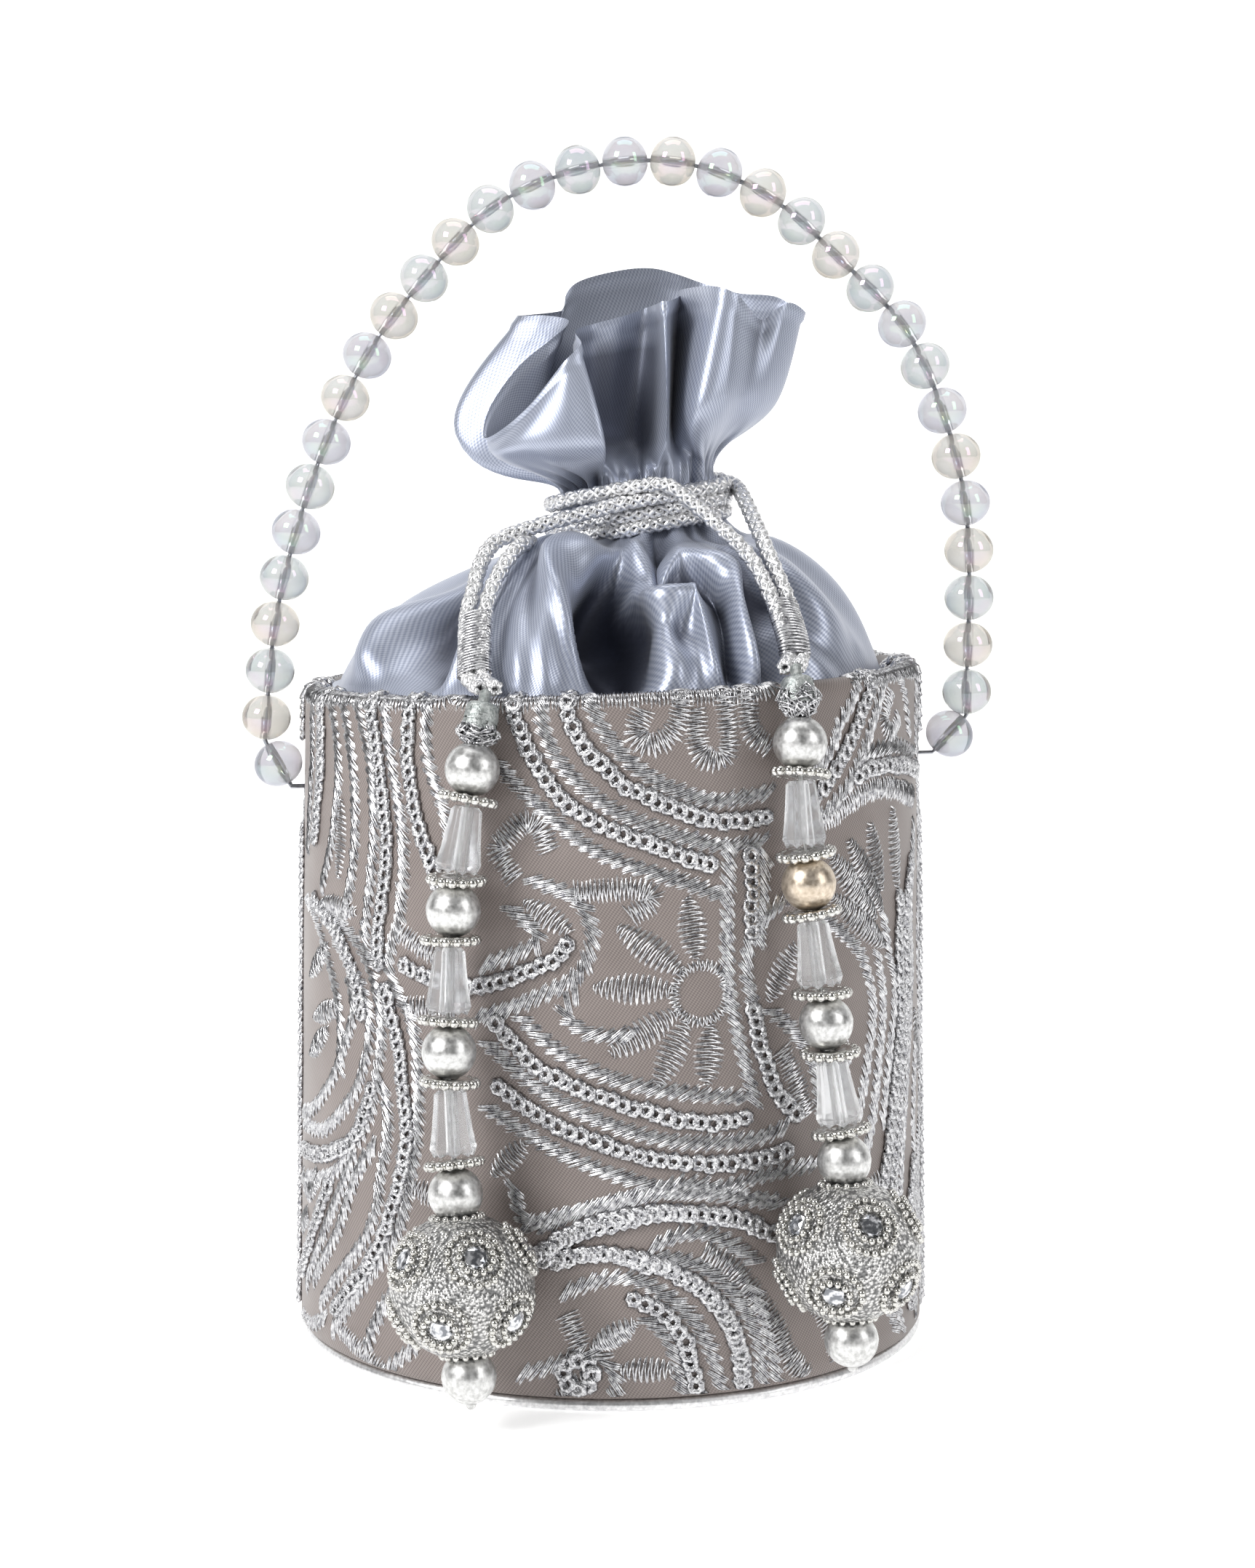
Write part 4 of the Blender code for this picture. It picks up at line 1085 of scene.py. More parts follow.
def wave_in_cloth(tree, pitch, slant, distortion):
    """Bands across the cloth's own UVs. The pitch is in metres and the slant in degrees."""
    where = tree.nodes.new("ShaderNodeTexCoord")
    turned = tree.nodes.new("ShaderNodeMapping")
    turned.inputs["Rotation"].default_value = (0, 0, math.radians(slant))
    bands = tree.nodes.new("ShaderNodeTexWave")
    # A wave texture has one band in each 1/20 of a turn of 2 pi, so this scale gives the pitch.
    bands.inputs["Scale"].default_value = math.pi / 10 / pitch
    bands.inputs["Distortion"].default_value = distortion
    bands.inputs["Detail"].default_value = 2.0
    bands.inputs["Detail Scale"].default_value = 0.4
    tree.links.new(where.outputs["UV"], turned.inputs["Vector"])
    tree.links.new(turned.outputs["Vector"], bands.inputs["Vector"])
    return bands.outputs["Fac"]


def blend(tree, share, first, second):
    """Mixes two factors. The share is how much of the second one there is."""
    mixed = tree.nodes.new("ShaderNodeMix")
    mixed.inputs["Factor"].default_value = share
    tree.links.new(first, mixed.inputs["A"])
    tree.links.new(second, mixed.inputs["B"])
    return mixed.outputs["Result"]


def satin_finish(name, dark, light, rib_pitch, slant, roughness, sheen, rib_bump=0.55):
    """Satin: fine slanted ribs, a slow change of tone, and a soft sheen."""
    made, tree, shader = new_finish(name)
    ribs = wave_in_cloth(tree, rib_pitch, slant, 1.2)
    cross = wave_in_cloth(tree, rib_pitch * 0.7, slant + 90, 1.0)
    tone = object_noise(tree, 90.0, 4.0).outputs["Fac"]
    weave = blend(tree, 0.45, ribs, cross)
    both = blend(tree, 0.3, weave, tone)
    shine = (roughness * 1.2, roughness * 0.8)
    colour_and_shine(tree, shader, both, (dark, light), shine, (0.15, 0.85))
    shader.inputs["Sheen Weight"].default_value = sheen
    shader.inputs["Sheen Roughness"].default_value = 0.4
    add_bump(tree, shader, weave, rib_bump, 0.06 * MM)
    add_bump(tree, shader, tone, 0.25, 0.5 * MM)
    return made


taupe_satin = satin_finish(
    "taupe_satin", (0.135, 0.112, 0.103), (0.31, 0.265, 0.248), 0.57 * MM, 35, 0.46, 0.2
)


def board_finish():
    """Grey board: short fibres, matt."""
    made, tree, shader = new_finish("grey_board")
    fibre = object_noise(tree, 900.0, 6.0, 0.7).outputs["Fac"]
    colour = two_colours(tree, fibre, (0.20, 0.19, 0.18), (0.36, 0.35, 0.33))
    tree.links.new(colour, shader.inputs["Base Color"])
    shader.inputs["Roughness"].default_value = 0.95
    add_bump(tree, shader, fibre, 0.4, 0.2 * MM)
    return made


bpy.data.objects["stiffener"].data.materials[0] = board_finish()
print("finishes for the bucket:", taupe_satin.name, "and grey board")

# %% The stretched cover


def lean(x, height):
    """The rim is a little higher on the right, and the wall's rise takes its share of that."""
    return RIM_RISE * x / RIM_RADIUS * min(height / WALL_HEIGHT, 1.0)


def on_wall(around, up, out=0.0):
    """A place on the cover: millimetres round from the front, millimetres up, millimetres out.
    Above the roll's start the way up turns over the rim and down inside."""
    angle = around * MM / (0.5 * (RIM_RADIUS + BASE_RADIUS))
    height = up * MM
    radius = wall_radius(height) + out * MM
    if height > ROLL_START:
        turn = min((height - ROLL_START) / RIM_ROLL, math.pi)
        reach = RIM_ROLL + out * MM
        radius = RIM_RADIUS - RIM_ROLL + reach * math.cos(turn)
        height = ROLL_START + reach * math.sin(turn)
    x = radius * math.sin(angle)
    return Vector((x, -radius * math.cos(angle), height + lean(x, height)))


def cover_profile():
    """(radius, height) from the bottom's middle, up the wall, over the rim and down the turn-in."""
    profile = [(radius, -CLOTH_SKIN) for radius in (0.5 * MM, SEAT_RADIUS * 0.5, SEAT_RADIUS - 1.0 * MM)]
    profile += [(SEAT_RADIUS, 0.4 * MM), (SEAT_RADIUS + 0.1 * MM, 2.3 * MM)]
    profile.append((BASE_RADIUS - 0.5 * MM, WALL_FOOT - 0.3 * MM))
    for i in range(WALL_ROWS + 1):
        height = WALL_FOOT + (ROLL_START - WALL_FOOT) * i / WALL_ROWS
        profile.append((wall_radius(height) + CLOTH_SKIN, height))
    reach = RIM_ROLL + CLOTH_SKIN
    for i in range(1, ROLL_ROWS + 1):
        turn = math.pi * i / ROLL_ROWS
        place = RIM_RADIUS - RIM_ROLL + reach * math.cos(turn)
        profile.append((place, ROLL_START + reach * math.sin(turn)))
    inner = RIM_RADIUS - FLANGE_IN - CLOTH_SKIN
    return profile + [(inner, ROLL_START - TURN_IN * 0.5), (inner, ROLL_START - TURN_IN)]


def set_cloth_uvs(made, columns, lengths, girth):
    """UVs in metres: round the cloth, and along its profile."""
    layer = made.data.uv_layers.new(name="cloth")
    rows = len(lengths)
    for polygon in made.data.polygons:
        corners = [made.data.loops[k].vertex_index for k in polygon.loop_indices]
        turns = [corner // rows for corner in corners]
        wraps = max(turns) - min(turns) > columns // 2
        for k, corner, turn in zip(polygon.loop_indices, corners, turns):
            if wraps and turn < columns // 2:
                turn += columns
            layer.data[k].uv = (girth * turn / columns, lengths[corner % rows])


def profile_lengths(profile):
    lengths = [0.0]
    for start, end in zip(profile, profile[1:]):
        lengths.append(lengths[-1] + math.dist(start, end))
    return lengths


def make_cover():
    """The skin of the bucket, as one stretched sheet."""
    profile = cover_profile()
    points, faces = lathe(profile, COVER_SEGMENTS)
    for point in points:
        point.z += lean(point.x, point.z)
    cover = piece_from("cover_cloth", points, faces, taupe_satin)
    lengths = profile_lengths(profile)
    flat_wide = 2 * math.pi * RIM_RADIUS
    set_cloth_uvs(cover, COVER_SEGMENTS, lengths, flat_wide)
    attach(cover, "bag")
    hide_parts("outer_cover")


make_cover()

# %% [markdown]
# ## The seam's piping
# A smooth silver cord lies in the seam between the wall and the bottom, and is the part that stands on
# the table. A fine ring turned on a lathe is enough for it.

# %% Piping
PIPING_SIDES = 14
PIPING_SEGMENTS = 240


def make_piping():
    middle = BASE_RADIUS - PIPING_RADIUS
    height = PIPING_RADIUS + GAP / 2
    turns = [2 * math.pi * i / PIPING_SIDES for i in range(PIPING_SIDES)]
    profile = [(middle + PIPING_RADIUS * math.sin(t), height + PIPING_RADIUS * math.cos(t)) for t in turns]
    points, faces = lathe(profile, PIPING_SEGMENTS, closed=True)
    ring = piece_from("seam_piping", points, faces, braided_silver)
    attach(ring, "bag")
    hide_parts("base_piping")
    print("piping:", len(faces), "faces")


make_piping()

# %% [markdown]
# ## Stitches
# The embroidery is couched metal thread. Four stitches make all of it:
#
# - a rope is a row of short bundles of four threads, each slanted across the line;
# - a comb is one thread that goes to and fro across the line;
# - a chain is a row of crinkled wire rings, each with one side on the ring before;
# - a leaf is a lens filled by a thread that goes to and fro.
#
# Every thread is a low arch with three edges. Both ends dip into the cloth, as if pulled through it.

# %% Sizes of the stitches, in millimetres on the wall
# Share of the thread's length, and rise, at each station of the arch
THREAD_STATIONS = ((0.0, -0.12), (0.22, 0.34), (0.5, 0.5), (0.78, 0.38), (1.0, -0.12))
THREAD_WIDTH = 0.29
THREAD_DROP = 0.75 * THREAD_WIDTH  # how far a thread's edges lie below its ridge
BUNDLE_THREADS = 4
BUNDLE_LENGTH = 5.9
BUNDLE_PITCH = 2.15
BUNDLE_SLANT = math.radians(38)
THREAD_PITCH = 0.33  # between the threads of a bundle
COMB_PITCH = 0.40
COMB_SLANT = 0.28
LEAF_PITCH = 0.55
LEAF_TIP = 0.5  # half a leaf's width at its ends
CHAIN_RADIUS = 1.14
CHAIN_WIRE = 0.72
CHAIN_PITCH = 2.20
CHAIN_TIP = 0.22  # how far the front of a ring is tipped up
CHAIN_SWAY = 0.25
RING_POINTS = 14
RING_SIDES = 5
LOWEST_STITCH = 3.3
MILLIMETRES_A_DEGREE = math.radians(0.5 * (RIM_RADIUS + BASE_RADIUS)) / MM
RIM_STARTS = 130.5  # a line that comes this far up goes on over the rim
RIM_INSIDE = 139.0
HANDLE_HEIGHT = 113.0  # where the handle's first bead stands before the wall at each side
HANDLE_REACH = 10.5


def leftwards(way):
    """The way on the wall that is square to another, on its left."""
    return Vector((-way.y, way.x, 0))

# %% One thread and one ring


class Stitches:
    """Collects threads or rings in wall millimetres, then makes them one piece."""

    def __init__(self, name, finish):
        self.name = name
        self.finish = finish
        self.points = []
        self.faces = []

    def thread(self, start, end, height, bend=0.0):
        """One thread as a low arch. The bend pushes its middle sideways."""
        run = end - start
        side = leftwards(run).normalized() * (THREAD_WIDTH / 2)
        first = len(self.points)
        for share, rise in THREAD_STATIONS:
            sideways = bend / (THREAD_WIDTH / 2) * 4 * share * (1 - share)
            here = start + run * share + side * sideways
            top = rise * height / 0.5
            for offset, drop in ((-1, THREAD_DROP), (0, 0.0), (1, THREAD_DROP)):
                place = here + side * offset
                self.points.append((place.x, place.y, top - drop))
        for i in range(len(THREAD_STATIONS) - 1):
            a = first + 3 * i
            self.faces.append((a, a + 1, a + 4, a + 3))
            self.faces.append((a + 1, a + 2, a + 5, a + 4))

    def ring(self, centre, heading, rng):
        """A crinkled ring, tipped up at the front of its way."""
        first = len(self.points)
        size = rng.uniform(0.88, 1.12)
        ahead = round_z(1.0, heading)
        for i in range(RING_POINTS):
            wire = CHAIN_WIRE * (1.0 + (0.20 if i % 2 else -0.16) + rng.uniform(-0.06, 0.06))
            spoke = round_z(1.0, 2 * math.pi * i / RING_POINTS)
            for k in range(RING_SIDES):
                bend = 2 * math.pi * k / RING_SIDES
                place = centre + spoke * (CHAIN_RADIUS * size + wire * math.cos(bend))
                rise = 0.38 + wire * 0.8 * math.sin(bend) + CHAIN_TIP * spoke.dot(ahead)
                self.points.append((place.x, place.y, rise))
        self.faces += renumbered(grid_faces(RING_POINTS, RING_SIDES), first)

    def finish_piece(self, turned=0.0):
        """The piece on the wall, turned round the bag by some degrees."""
        placed = []
        for around, up, out in self.points:
            place = on_wall(around + turned * MILLIMETRES_A_DEGREE, max(up, LOWEST_STITCH), out)
            placed.append(place)
        name = f"{self.name}_{'back' if turned else 'front'}"
        made = piece_from(name, placed, self.faces, self.finish)
        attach(made, "bag")
        print(name, 2 * len(self.faces), "triangles")

# %% The four stitches


def over_the_rim(line):
    """A line that starts or ends at the top goes on over the rim, as the stitches do."""
    longer = list(line)
    if line[0][1] > RIM_STARTS:
        longer.insert(0, (line[0][0], RIM_INSIDE))
    if line[-1][1] > RIM_STARTS:
        longer.append((line[-1][0], RIM_INSIDE))
    return [Vector((around, up, 0)) for around, up in longer]


def sew_rope(stitches, line, rng):
    centres = evenly_along(over_the_rim(line), spacing=BUNDLE_PITCH)
    for i, centre in enumerate(centres):
        ahead = step_at(centres, i)
        heading = math.atan2(ahead.y, ahead.x) + BUNDLE_SLANT + rng.uniform(-0.07, 0.07)
        run = round_z(1.0, heading)
        side = leftwards(run)
        for k in range(BUNDLE_THREADS):
            off = k - (BUNDLE_THREADS - 1) / 2
            offset = off * THREAD_PITCH + rng.uniform(-0.06, 0.06)
            half = 0.5 * BUNDLE_LENGTH * (1.0 - 0.05 * abs(off)) + rng.uniform(-0.35, 0.35)
            middle = centre + side * offset
            rise = 0.60 - 0.08 * abs(off) + rng.uniform(-0.12, 0.12)
            fan = side * rng.uniform(-0.16, 0.16)
            stitches.thread(middle - run * half - fan, middle + run * half + fan, rise)


def sew_comb(stitches, line, rng, half_width=2.5):
    centres = evenly_along(over_the_rim(line), spacing=COMB_PITCH)
    for i, centre in enumerate(centres):
        ahead = step_at(centres, i).normalized()
        square = leftwards(ahead)
        half = half_width * (1 + rng.uniform(-0.22, 0.22))
        slanted = square * half + ahead * (COMB_SLANT if i % 2 else -COMB_SLANT)
        height = 0.55 + rng.uniform(-0.1, 0.1)
        stitches.thread(centre - slanted, centre + slanted, height, bend=rng.uniform(0.0, 0.25))


def sew_leaf(stitches, line, rng, half_width):
    start = Vector((*line[0], 0))
    end = Vector((*line[-1], 0))
    run = end - start
    count = max(6, round(run.length / LEAF_PITCH))
    ahead = run.normalized()
    side = leftwards(ahead)
    for i in range(count):
        share = (i + 0.5) / count
        half = LEAF_TIP + (half_width - LEAF_TIP) * math.sin(math.pi * share) ** 0.7
        half += rng.uniform(-0.2, 0.2)
        slanted = side * half + ahead * (0.42 if i % 2 else -0.1)
        centre = start + run * share
        height = 0.6 + rng.uniform(-0.12, 0.12)
        stitches.thread(centre - slanted, centre + slanted, height, bend=0.45)


def under_handle(centre):
    """True where the handle's first bead passes, so that no raised ring is sewn there."""
    quarter_turn = 90 * MILLIMETRES_A_DEGREE
    return math.hypot(abs(centre.x) - quarter_turn, centre.y - HANDLE_HEIGHT) < HANDLE_REACH


def lay_chain(rings, line, rng):
    centres = evenly_along(over_the_rim(line), spacing=CHAIN_PITCH)
    for i, centre in enumerate(centres):
        if under_handle(centre):
            continue
        ahead = step_at(centres, i)
        sway = Vector((*rng.uniform(-CHAIN_SWAY, CHAIN_SWAY, 2), 0))
        rings.ring(centre + sway, math.atan2(ahead.y, ahead.x), rng)


# %% [markdown]
# ## Where the stitches go
# The lines below were read off the photograph and laid on the wall. Each point is millimetres round the
# bag from the middle of the front, and millimetres up from the table.

# %% Embroidery on the middle of the front
# Bands that fan out over the front, with three loops at the rim
CENTRE_TOP = [
    ("rope", [(-4, 133.5), (-0.5, 126), (7, 118.5), (18.5, 113.5), (30.5, 114)]),
    ("chain", [(-8, 131), (-5.5, 125), (-1, 120), (5, 115.5), (18.5, 110), (30, 109.5)]),
    ("rope", [(-13, 132.5), (-12, 126.5), (-8.5, 120.5), (1.5, 112), (18.5, 105.5), (29, 105)]),
    ("chain", [(-18, 131), (-13.5, 120.5), (-8.5, 114.5), (-1, 109.5), (18.5, 101.5)]),
    ("rope", [(-21.5, 121.5), (-15.5, 115.5), (-2.5, 105), (13, 99), (20.5, 96)]),
    ("rope", [(22.5, 104.5), (22, 82.5), (24, 70.5), (27.5, 57)]),
    ("chain", [(27, 102.5), (27, 88.5)]),
    ("rope", [(30, 102), (28.5, 87)]),
    ("comb", [(6, 130.5), (4.5, 126.5), (7, 124), (11.5, 126), (13.5, 131.5)]),
    ("comb", [(16, 130), (16.5, 122.5), (20, 120.5), (22.5, 122.5), (22, 131)]),
    ("comb", [(26.5, 131), (27, 125.5), (31, 122)]),
]
# The scroll left of the middle, its hook and its branch
SCROLL = [
    ("comb", [(-11.5, 105.5), (-13, 109.5), (-16, 111), (-20, 107.5), (-21.5, 105.5), (-18, 100)]),
    ("rope", [(-14.5, 100), (-6.5, 96.5), (-4, 92.5), (-3.5, 88), (-6.5, 82), (-17.5, 76.5), (-25, 74)]),
    ("rope", [(-18.5, 94.5), (-13.5, 88.5), (-23.5, 84)]),
    ("chain", [(-8, 88), (-11.5, 84.5), (-20.5, 81), (-24.5, 80)]),
    ("leaf", [(-16, 96), (-7, 90)]),
    ("comb", [(-6.5, 97.5), (4.5, 98), (8, 96), (3.5, 93)]),
    ("rope", [(3.5, 71), (-4, 71.5), (-8.5, 75.5), (-6.5, 79)]),
]
# Bands that sweep under the flower and towards the foot
LOWER_BANDS = [
    ("rope", [(-16.5, 74), (-8, 67), (5, 61.5), (25.5, 58)]),
    ("chain", [(-21.5, 73), (-12.5, 64.5), (1.5, 58.5), (16.5, 54), (25.5, 54)]),
    ("rope", [(-23, 69), (-10, 59), (9, 51.5), (26.5, 50), (34, 51.5)]),
    ("chain", [(-21, 61), (-8, 53.5), (9, 47.5), (26.5, 46), (34, 47)]),
    ("rope", [(-23, 57), (-8, 48.5), (8.5, 42.5), (16.5, 41), (30.5, 43), (41, 43.5)]),
    ("rope", [(-15.5, 35.5), (-6.5, 38), (10.5, 41.5), (30.5, 38)]),
    ("chain", [(-14, 30), (-4.5, 34.5), (12.5, 37.5), (27.5, 34)]),
    ("chain", [(-12, 29), (1, 30), (12.5, 26), (22, 17), (24.5, 5)]),
]
# Leaves round the flower
FLOWER = [
    ("long leaf", [(14.5, 95.8), (16, 84)]),
    ("long leaf", [(1.5, 91), (13.5, 82)]),
    ("long leaf", [(-3, 80), (12, 79)]),
    ("long leaf", [(12.5, 75), (-0.5, 67.5)]),
    ("long leaf", [(14, 73), (8.5, 61)]),
    ("long leaf", [(18.8, 72), (17.8, 60.5)]),
]
# Small leaves at the foot
FOOT_LEAVES = [
    ("leaf", [(-3, 12.5), (5, 17.5)]),
    ("leaf", [(2, 8.5), (11.5, 8)]),
    ("leaf", [(-10, 2.5), (-2.5, 7.5)]),
]
MIDDLE = CENTRE_TOP + SCROLL + LOWER_BANDS + FLOWER + FOOT_LEAVES
print("lines on the middle:", len(MIDDLE))

# %% Embroidery on the left: the eye and the bands beside it
LEFT_SIDE = [
    ("rope", [(-57, 134.5), (-51.5, 120.5), (-50.5, 107), (-51.5, 97.5), (-53, 86), (-49, 82)]),
    ("chain", [(-52, 134.5), (-49, 121), (-46.5, 107), (-47, 100), (-49, 86.5), (-48.5, 82.5)]),
    ("rope", [(-48, 134), (-45.5, 121), (-42.5, 107.5), (-43, 93), (-46, 83), (-43.5, 77), (-40, 72),
              (-38.5, 63), (-38.5, 52.5), (-40, 42.5), (-44, 29.5), (-53.5, 18), (-63.5, 7)]),
    ("chain", [(-40.5, 134), (-41, 121), (-38.5, 110.5), (-34, 99)]),
    ("rope", [(-36.5, 134), (-36.5, 122.5), (-32.5, 112), (-30.5, 102.5)]),
    ("rope", [(-67.5, 134.5), (-63, 120), (-65.5, 105.5), (-70.5, 95.5)]),
    ("chain", [(-71.5, 132.5), (-71, 119.5), (-74.5, 104.5)]),
    ("chain", [(-47, 77.5), (-45, 72.5), (-43, 66.5), (-42, 58.5), (-41, 50), (-43.5, 38.5),
               (-50, 24.5), (-62.5, 11.5)]),
    ("rope", [(-67, 90.5), (-57, 86.5), (-50.5, 79.5), (-48, 70), (-49, 61.5), (-51, 53),
              (-55.5, 46.5), (-65, 38), (-80.5, 34)]),
    ("rope", [(-63.5, 84.5), (-55.5, 79), (-52, 73.5), (-51.5, 67.5), (-53.5, 61), (-57.5, 54.5),
              (-68.5, 46.5), (-83.5, 44.5)]),
    ("rope", [(-58, 77), (-56.5, 72), (-60.5, 64), (-65.5, 56.5), (-75, 49.5), (-85, 46.5)]),
    ("chain", [(-50.5, 57.5), (-52.5, 52.5), (-57.5, 46), (-68.5, 41.5), (-82.5, 39.5)]),
    ("rope", [(-47, 58.5), (-46, 51.5), (-47.5, 43), (-52, 28.5), (-69.5, 11)]),
    ("rope", [(-50, 46.5), (-55.5, 39.5), (-63, 26), (-74, 14.5)]),
    ("comb", [(-43, 89), (-38, 86.5), (-33.5, 85)]),
    ("chain", [(-41.5, 83), (-38, 81.5), (-33, 80), (-27.5, 79.5)]),
    ("comb", [(-41.5, 74.5), (-35, 75), (-30, 75)]),
    ("leaf", [(-22, 44.5), (-15.5, 51)]),
    ("comb", [(-39.5, 40), (-31, 38)]),
    ("rope", [(-31, 31), (-39.5, 24.5), (-47, 15.5), (-52, 6)]),
    ("comb", [(-60.5, 7.5), (-53.5, 5), (-48, 3)]),
    ("rope", [(-38.5, 9.5), (-47, 2)]),
    ("rope", [(-62, 134.5), (-57.5, 120.5), (-56.5, 107), (-58, 97), (-61, 90)]),
    ("leaf", [(-61.5, 113), (-63, 97)]),
    ("rope", [(-78, 134), (-78.5, 118), (-82, 102)]),
    ("chain", [(-74.5, 92), (-64, 87.5), (-57.5, 81), (-53.5, 72)]),
    ("rope", [(-83, 91), (-74, 87.5), (-67, 80.5), (-62, 71), (-61.5, 60)]),
    ("leaf", [(-78, 76), (-66.5, 84)]),
    ("leaf", [(-75, 68), (-61, 72.5)]),
    ("leaf", [(-77.5, 60), (-66.5, 67)]),
    ("leaf", [(-70.5, 92), (-55.5, 91.5)]),
    ("rope", [(-56, 44), (-63, 33), (-72, 21), (-80, 12)]),
    ("chain", [(-66, 35.5), (-74, 24.5), (-83, 14)]),
    ("comb", [(-72, 36.5), (-78, 31.5), (-86, 33)]),
    ("comb", [(-79.5, 26.5), (-87, 22.5)]),
    ("rope", [(-68, 8), (-76, 4.5), (-85, 4)]),
]
print("lines on the left:", len(LEFT_SIDE))

# %% Embroidery at the foot: scrolls
FOOT = [
    ("rope", [(-18, 42), (-16.5, 37), (-13, 35), (-5.5, 38), (5.5, 41), (13.5, 43), (21, 41),
              (32.5, 37)]),
    ("chain", [(-13, 30), (-5.5, 35), (4, 37.5), (13.5, 37.5), (22, 36), (31, 31.5)]),
    ("rope", [(8, 31.5), (14, 33.5), (21, 32), (27.5, 27)]),
    ("comb", [(17.5, 30), (23, 26.5), (26, 22.5), (31.5, 14.5), (35, 7.5), (39, 3.5)]),
    ("chain", [(-10, 28.5), (-2, 30.5), (5.5, 28.5), (13.5, 25), (20.5, 18.5), (24.5, 10), (25, 4)]),
    ("chain", [(4, 21.5), (9.5, 19), (13.5, 13.5), (15.5, 6), (16.5, 2.5)]),
    ("rope", [(7, 17.5), (11, 13), (13.5, 3.5)]),
    ("rope", [(-8, 23), (-1, 25.5), (5.5, 25), (13.5, 19.5), (18, 12.5), (20.5, 4)]),
    ("rope", [(9, 29.5), (17, 27), (24, 20.5), (28, 12), (29, 4)]),
    ("comb", [(-8, 18.5), (-5.5, 12.5)]),
    ("rope", [(-16, 7), (-10, 9), (-5.5, 11.5), (-1, 10.5), (1, 6), (0.5, 3)]),
    ("leaf", [(-3.5, 12.5), (5, 17)]),
    ("leaf", [(2, 8), (12, 8)]),
    ("leaf", [(-10, 2), (-2.5, 7)]),
    ("rope", [(27.5, 21.5), (30.5, 11.5), (32, 4)]),
]
print("lines at the foot:", len(FOOT))

# %% Embroidery on the right: the long leaves and the bands beside them
RIGHT_SIDE = [
    ("rope", [(54, 133), (52, 129), (48.5, 125.5), (46.5, 121.5), (42.5, 117.5), (39.5, 115)]),
    ("chain", [(59, 133), (56, 128.5), (52.5, 123.5), (48, 118), (42.5, 113), (37.5, 111)]),
    ("rope", [(63.5, 132.5), (60.5, 127), (57, 121.5), (52.5, 115.5), (47.5, 111), (41.5, 107.5),
              (36.5, 105.5)]),
    ("rope", [(55.5, 118.5), (60, 119), (69.5, 119), (81, 116.5)]),
    ("chain", [(53.5, 115), (60, 116), (71.5, 115), (82.5, 113)]),
    ("comb", [(43, 107), (50, 109.5), (56, 111.5), (65, 111.5), (80.5, 108)]),
    ("rope", [(71, 133), (74.5, 128.5), (77.5, 121)]),
    ("comb", [(66.5, 129.5), (63.5, 125), (66.5, 121.5), (70.5, 124.5)]),
    ("long leaf", [(59.5, 87.5), (45, 101.5)]),
    ("long leaf", [(62, 88.5), (50.5, 103.5)]),
    ("long leaf", [(62, 92.5), (57.5, 106)]),
    ("long leaf", [(69.5, 91.5), (67, 108)]),
    ("long leaf", [(63, 81.5), (45.5, 93.5)]),
    ("rope", [(63, 87), (65, 80), (68, 72.5), (65, 60), (62, 48)]),
    ("rope", [(43.5, 89.5), (49.5, 85.5), (55, 80.5), (58.5, 71), (56.5, 60.5), (53, 50), (49.5, 42)]),
    ("chain", [(77.5, 95.5), (73.5, 86.5), (74, 71.5), (71, 59), (67.5, 44), (65, 30.5)]),
    ("rope", [(60.5, 80), (62.5, 71), (60.5, 59), (57.5, 47), (54, 40)]),
    ("chain", [(70, 90), (69.5, 79), (70, 67), (67, 55), (64, 43), (61, 34)]),
    ("rope", [(81.5, 102), (78, 89), (78.5, 73), (75.5, 58), (72, 44), (70, 31)]),
    ("long leaf", [(30.5, 75.5), (37, 85.5)]),
    ("rope", [(27.4, 88.3), (31, 92), (36, 94.5), (42, 95)]),
    ("rope", [(27, 88), (25.8, 82), (27.4, 75)]),
    ("chain", [(27.4, 74.3), (29, 66), (32.6, 57.6), (36.5, 53.8)]),
    ("rope", [(31.5, 73.3), (36.7, 68.7), (41, 62), (43, 52)]),
    ("comb", [(33.5, 66), (36.5, 60), (39.5, 53)]),
    ("rope", [(46.5, 70), (49.5, 63), (48.5, 52), (46.5, 44)]),
    ("comb", [(42.5, 38), (51.5, 32), (61.5, 25.5)]),
    ("rope", [(65, 39), (59, 29), (61.5, 17), (68, 5.5)]),
    ("leaf", [(53, 34.5), (65, 37.5)]),
    ("chain", [(78.5, 36), (74, 22.5), (75.5, 9)]),
    ("rope", [(42, 31), (48, 22), (52, 10)]),
    ("comb", [(39, 21), (44.5, 12), (47, 5)]),
    ("rope", [(70.5, 27), (67.5, 15), (71, 5)]),
    ("rope", [(82, 58), (79.5, 44), (82.5, 24), (80.5, 6)]),
    ("leaf", [(52.5, 21), (58, 30)]),
]
print("lines on the right:", len(RIGHT_SIDE))

# %% Sewing the front, and the same again at the back


def ring_of(middle, radius):
    """A closed circle on the wall, of twelve steps."""
    turns = [2 * math.pi * i / 12 for i in range(13)]
    return [(middle[0] + radius * math.cos(t), middle[1] + radius * math.sin(t)) for t in turns]


# Bands in the gap between the front's embroidery and the back's, at the sides
SIDE_BANDS = [
    ("rope", [(88, 134), (86, 118), (91, 100), (87, 78), (91, 56), (86, 32), (89, 6)]),
    ("chain", [(93, 134), (91, 118), (96, 100), (92, 78), (96, 56), (91, 32), (94, 6)]),
    ("rope", [(98, 134), (96, 118), (101, 100), (97, 78), (101, 56), (96, 32), (99, 6)]),
    ("chain", [(104, 134), (102, 118), (106, 100), (102, 78), (106, 56), (102, 32), (105, 6)]),
    ("leaf", [(81, 66), (88, 52)]),
    ("leaf", [(80, 30), (88, 44)]),
]
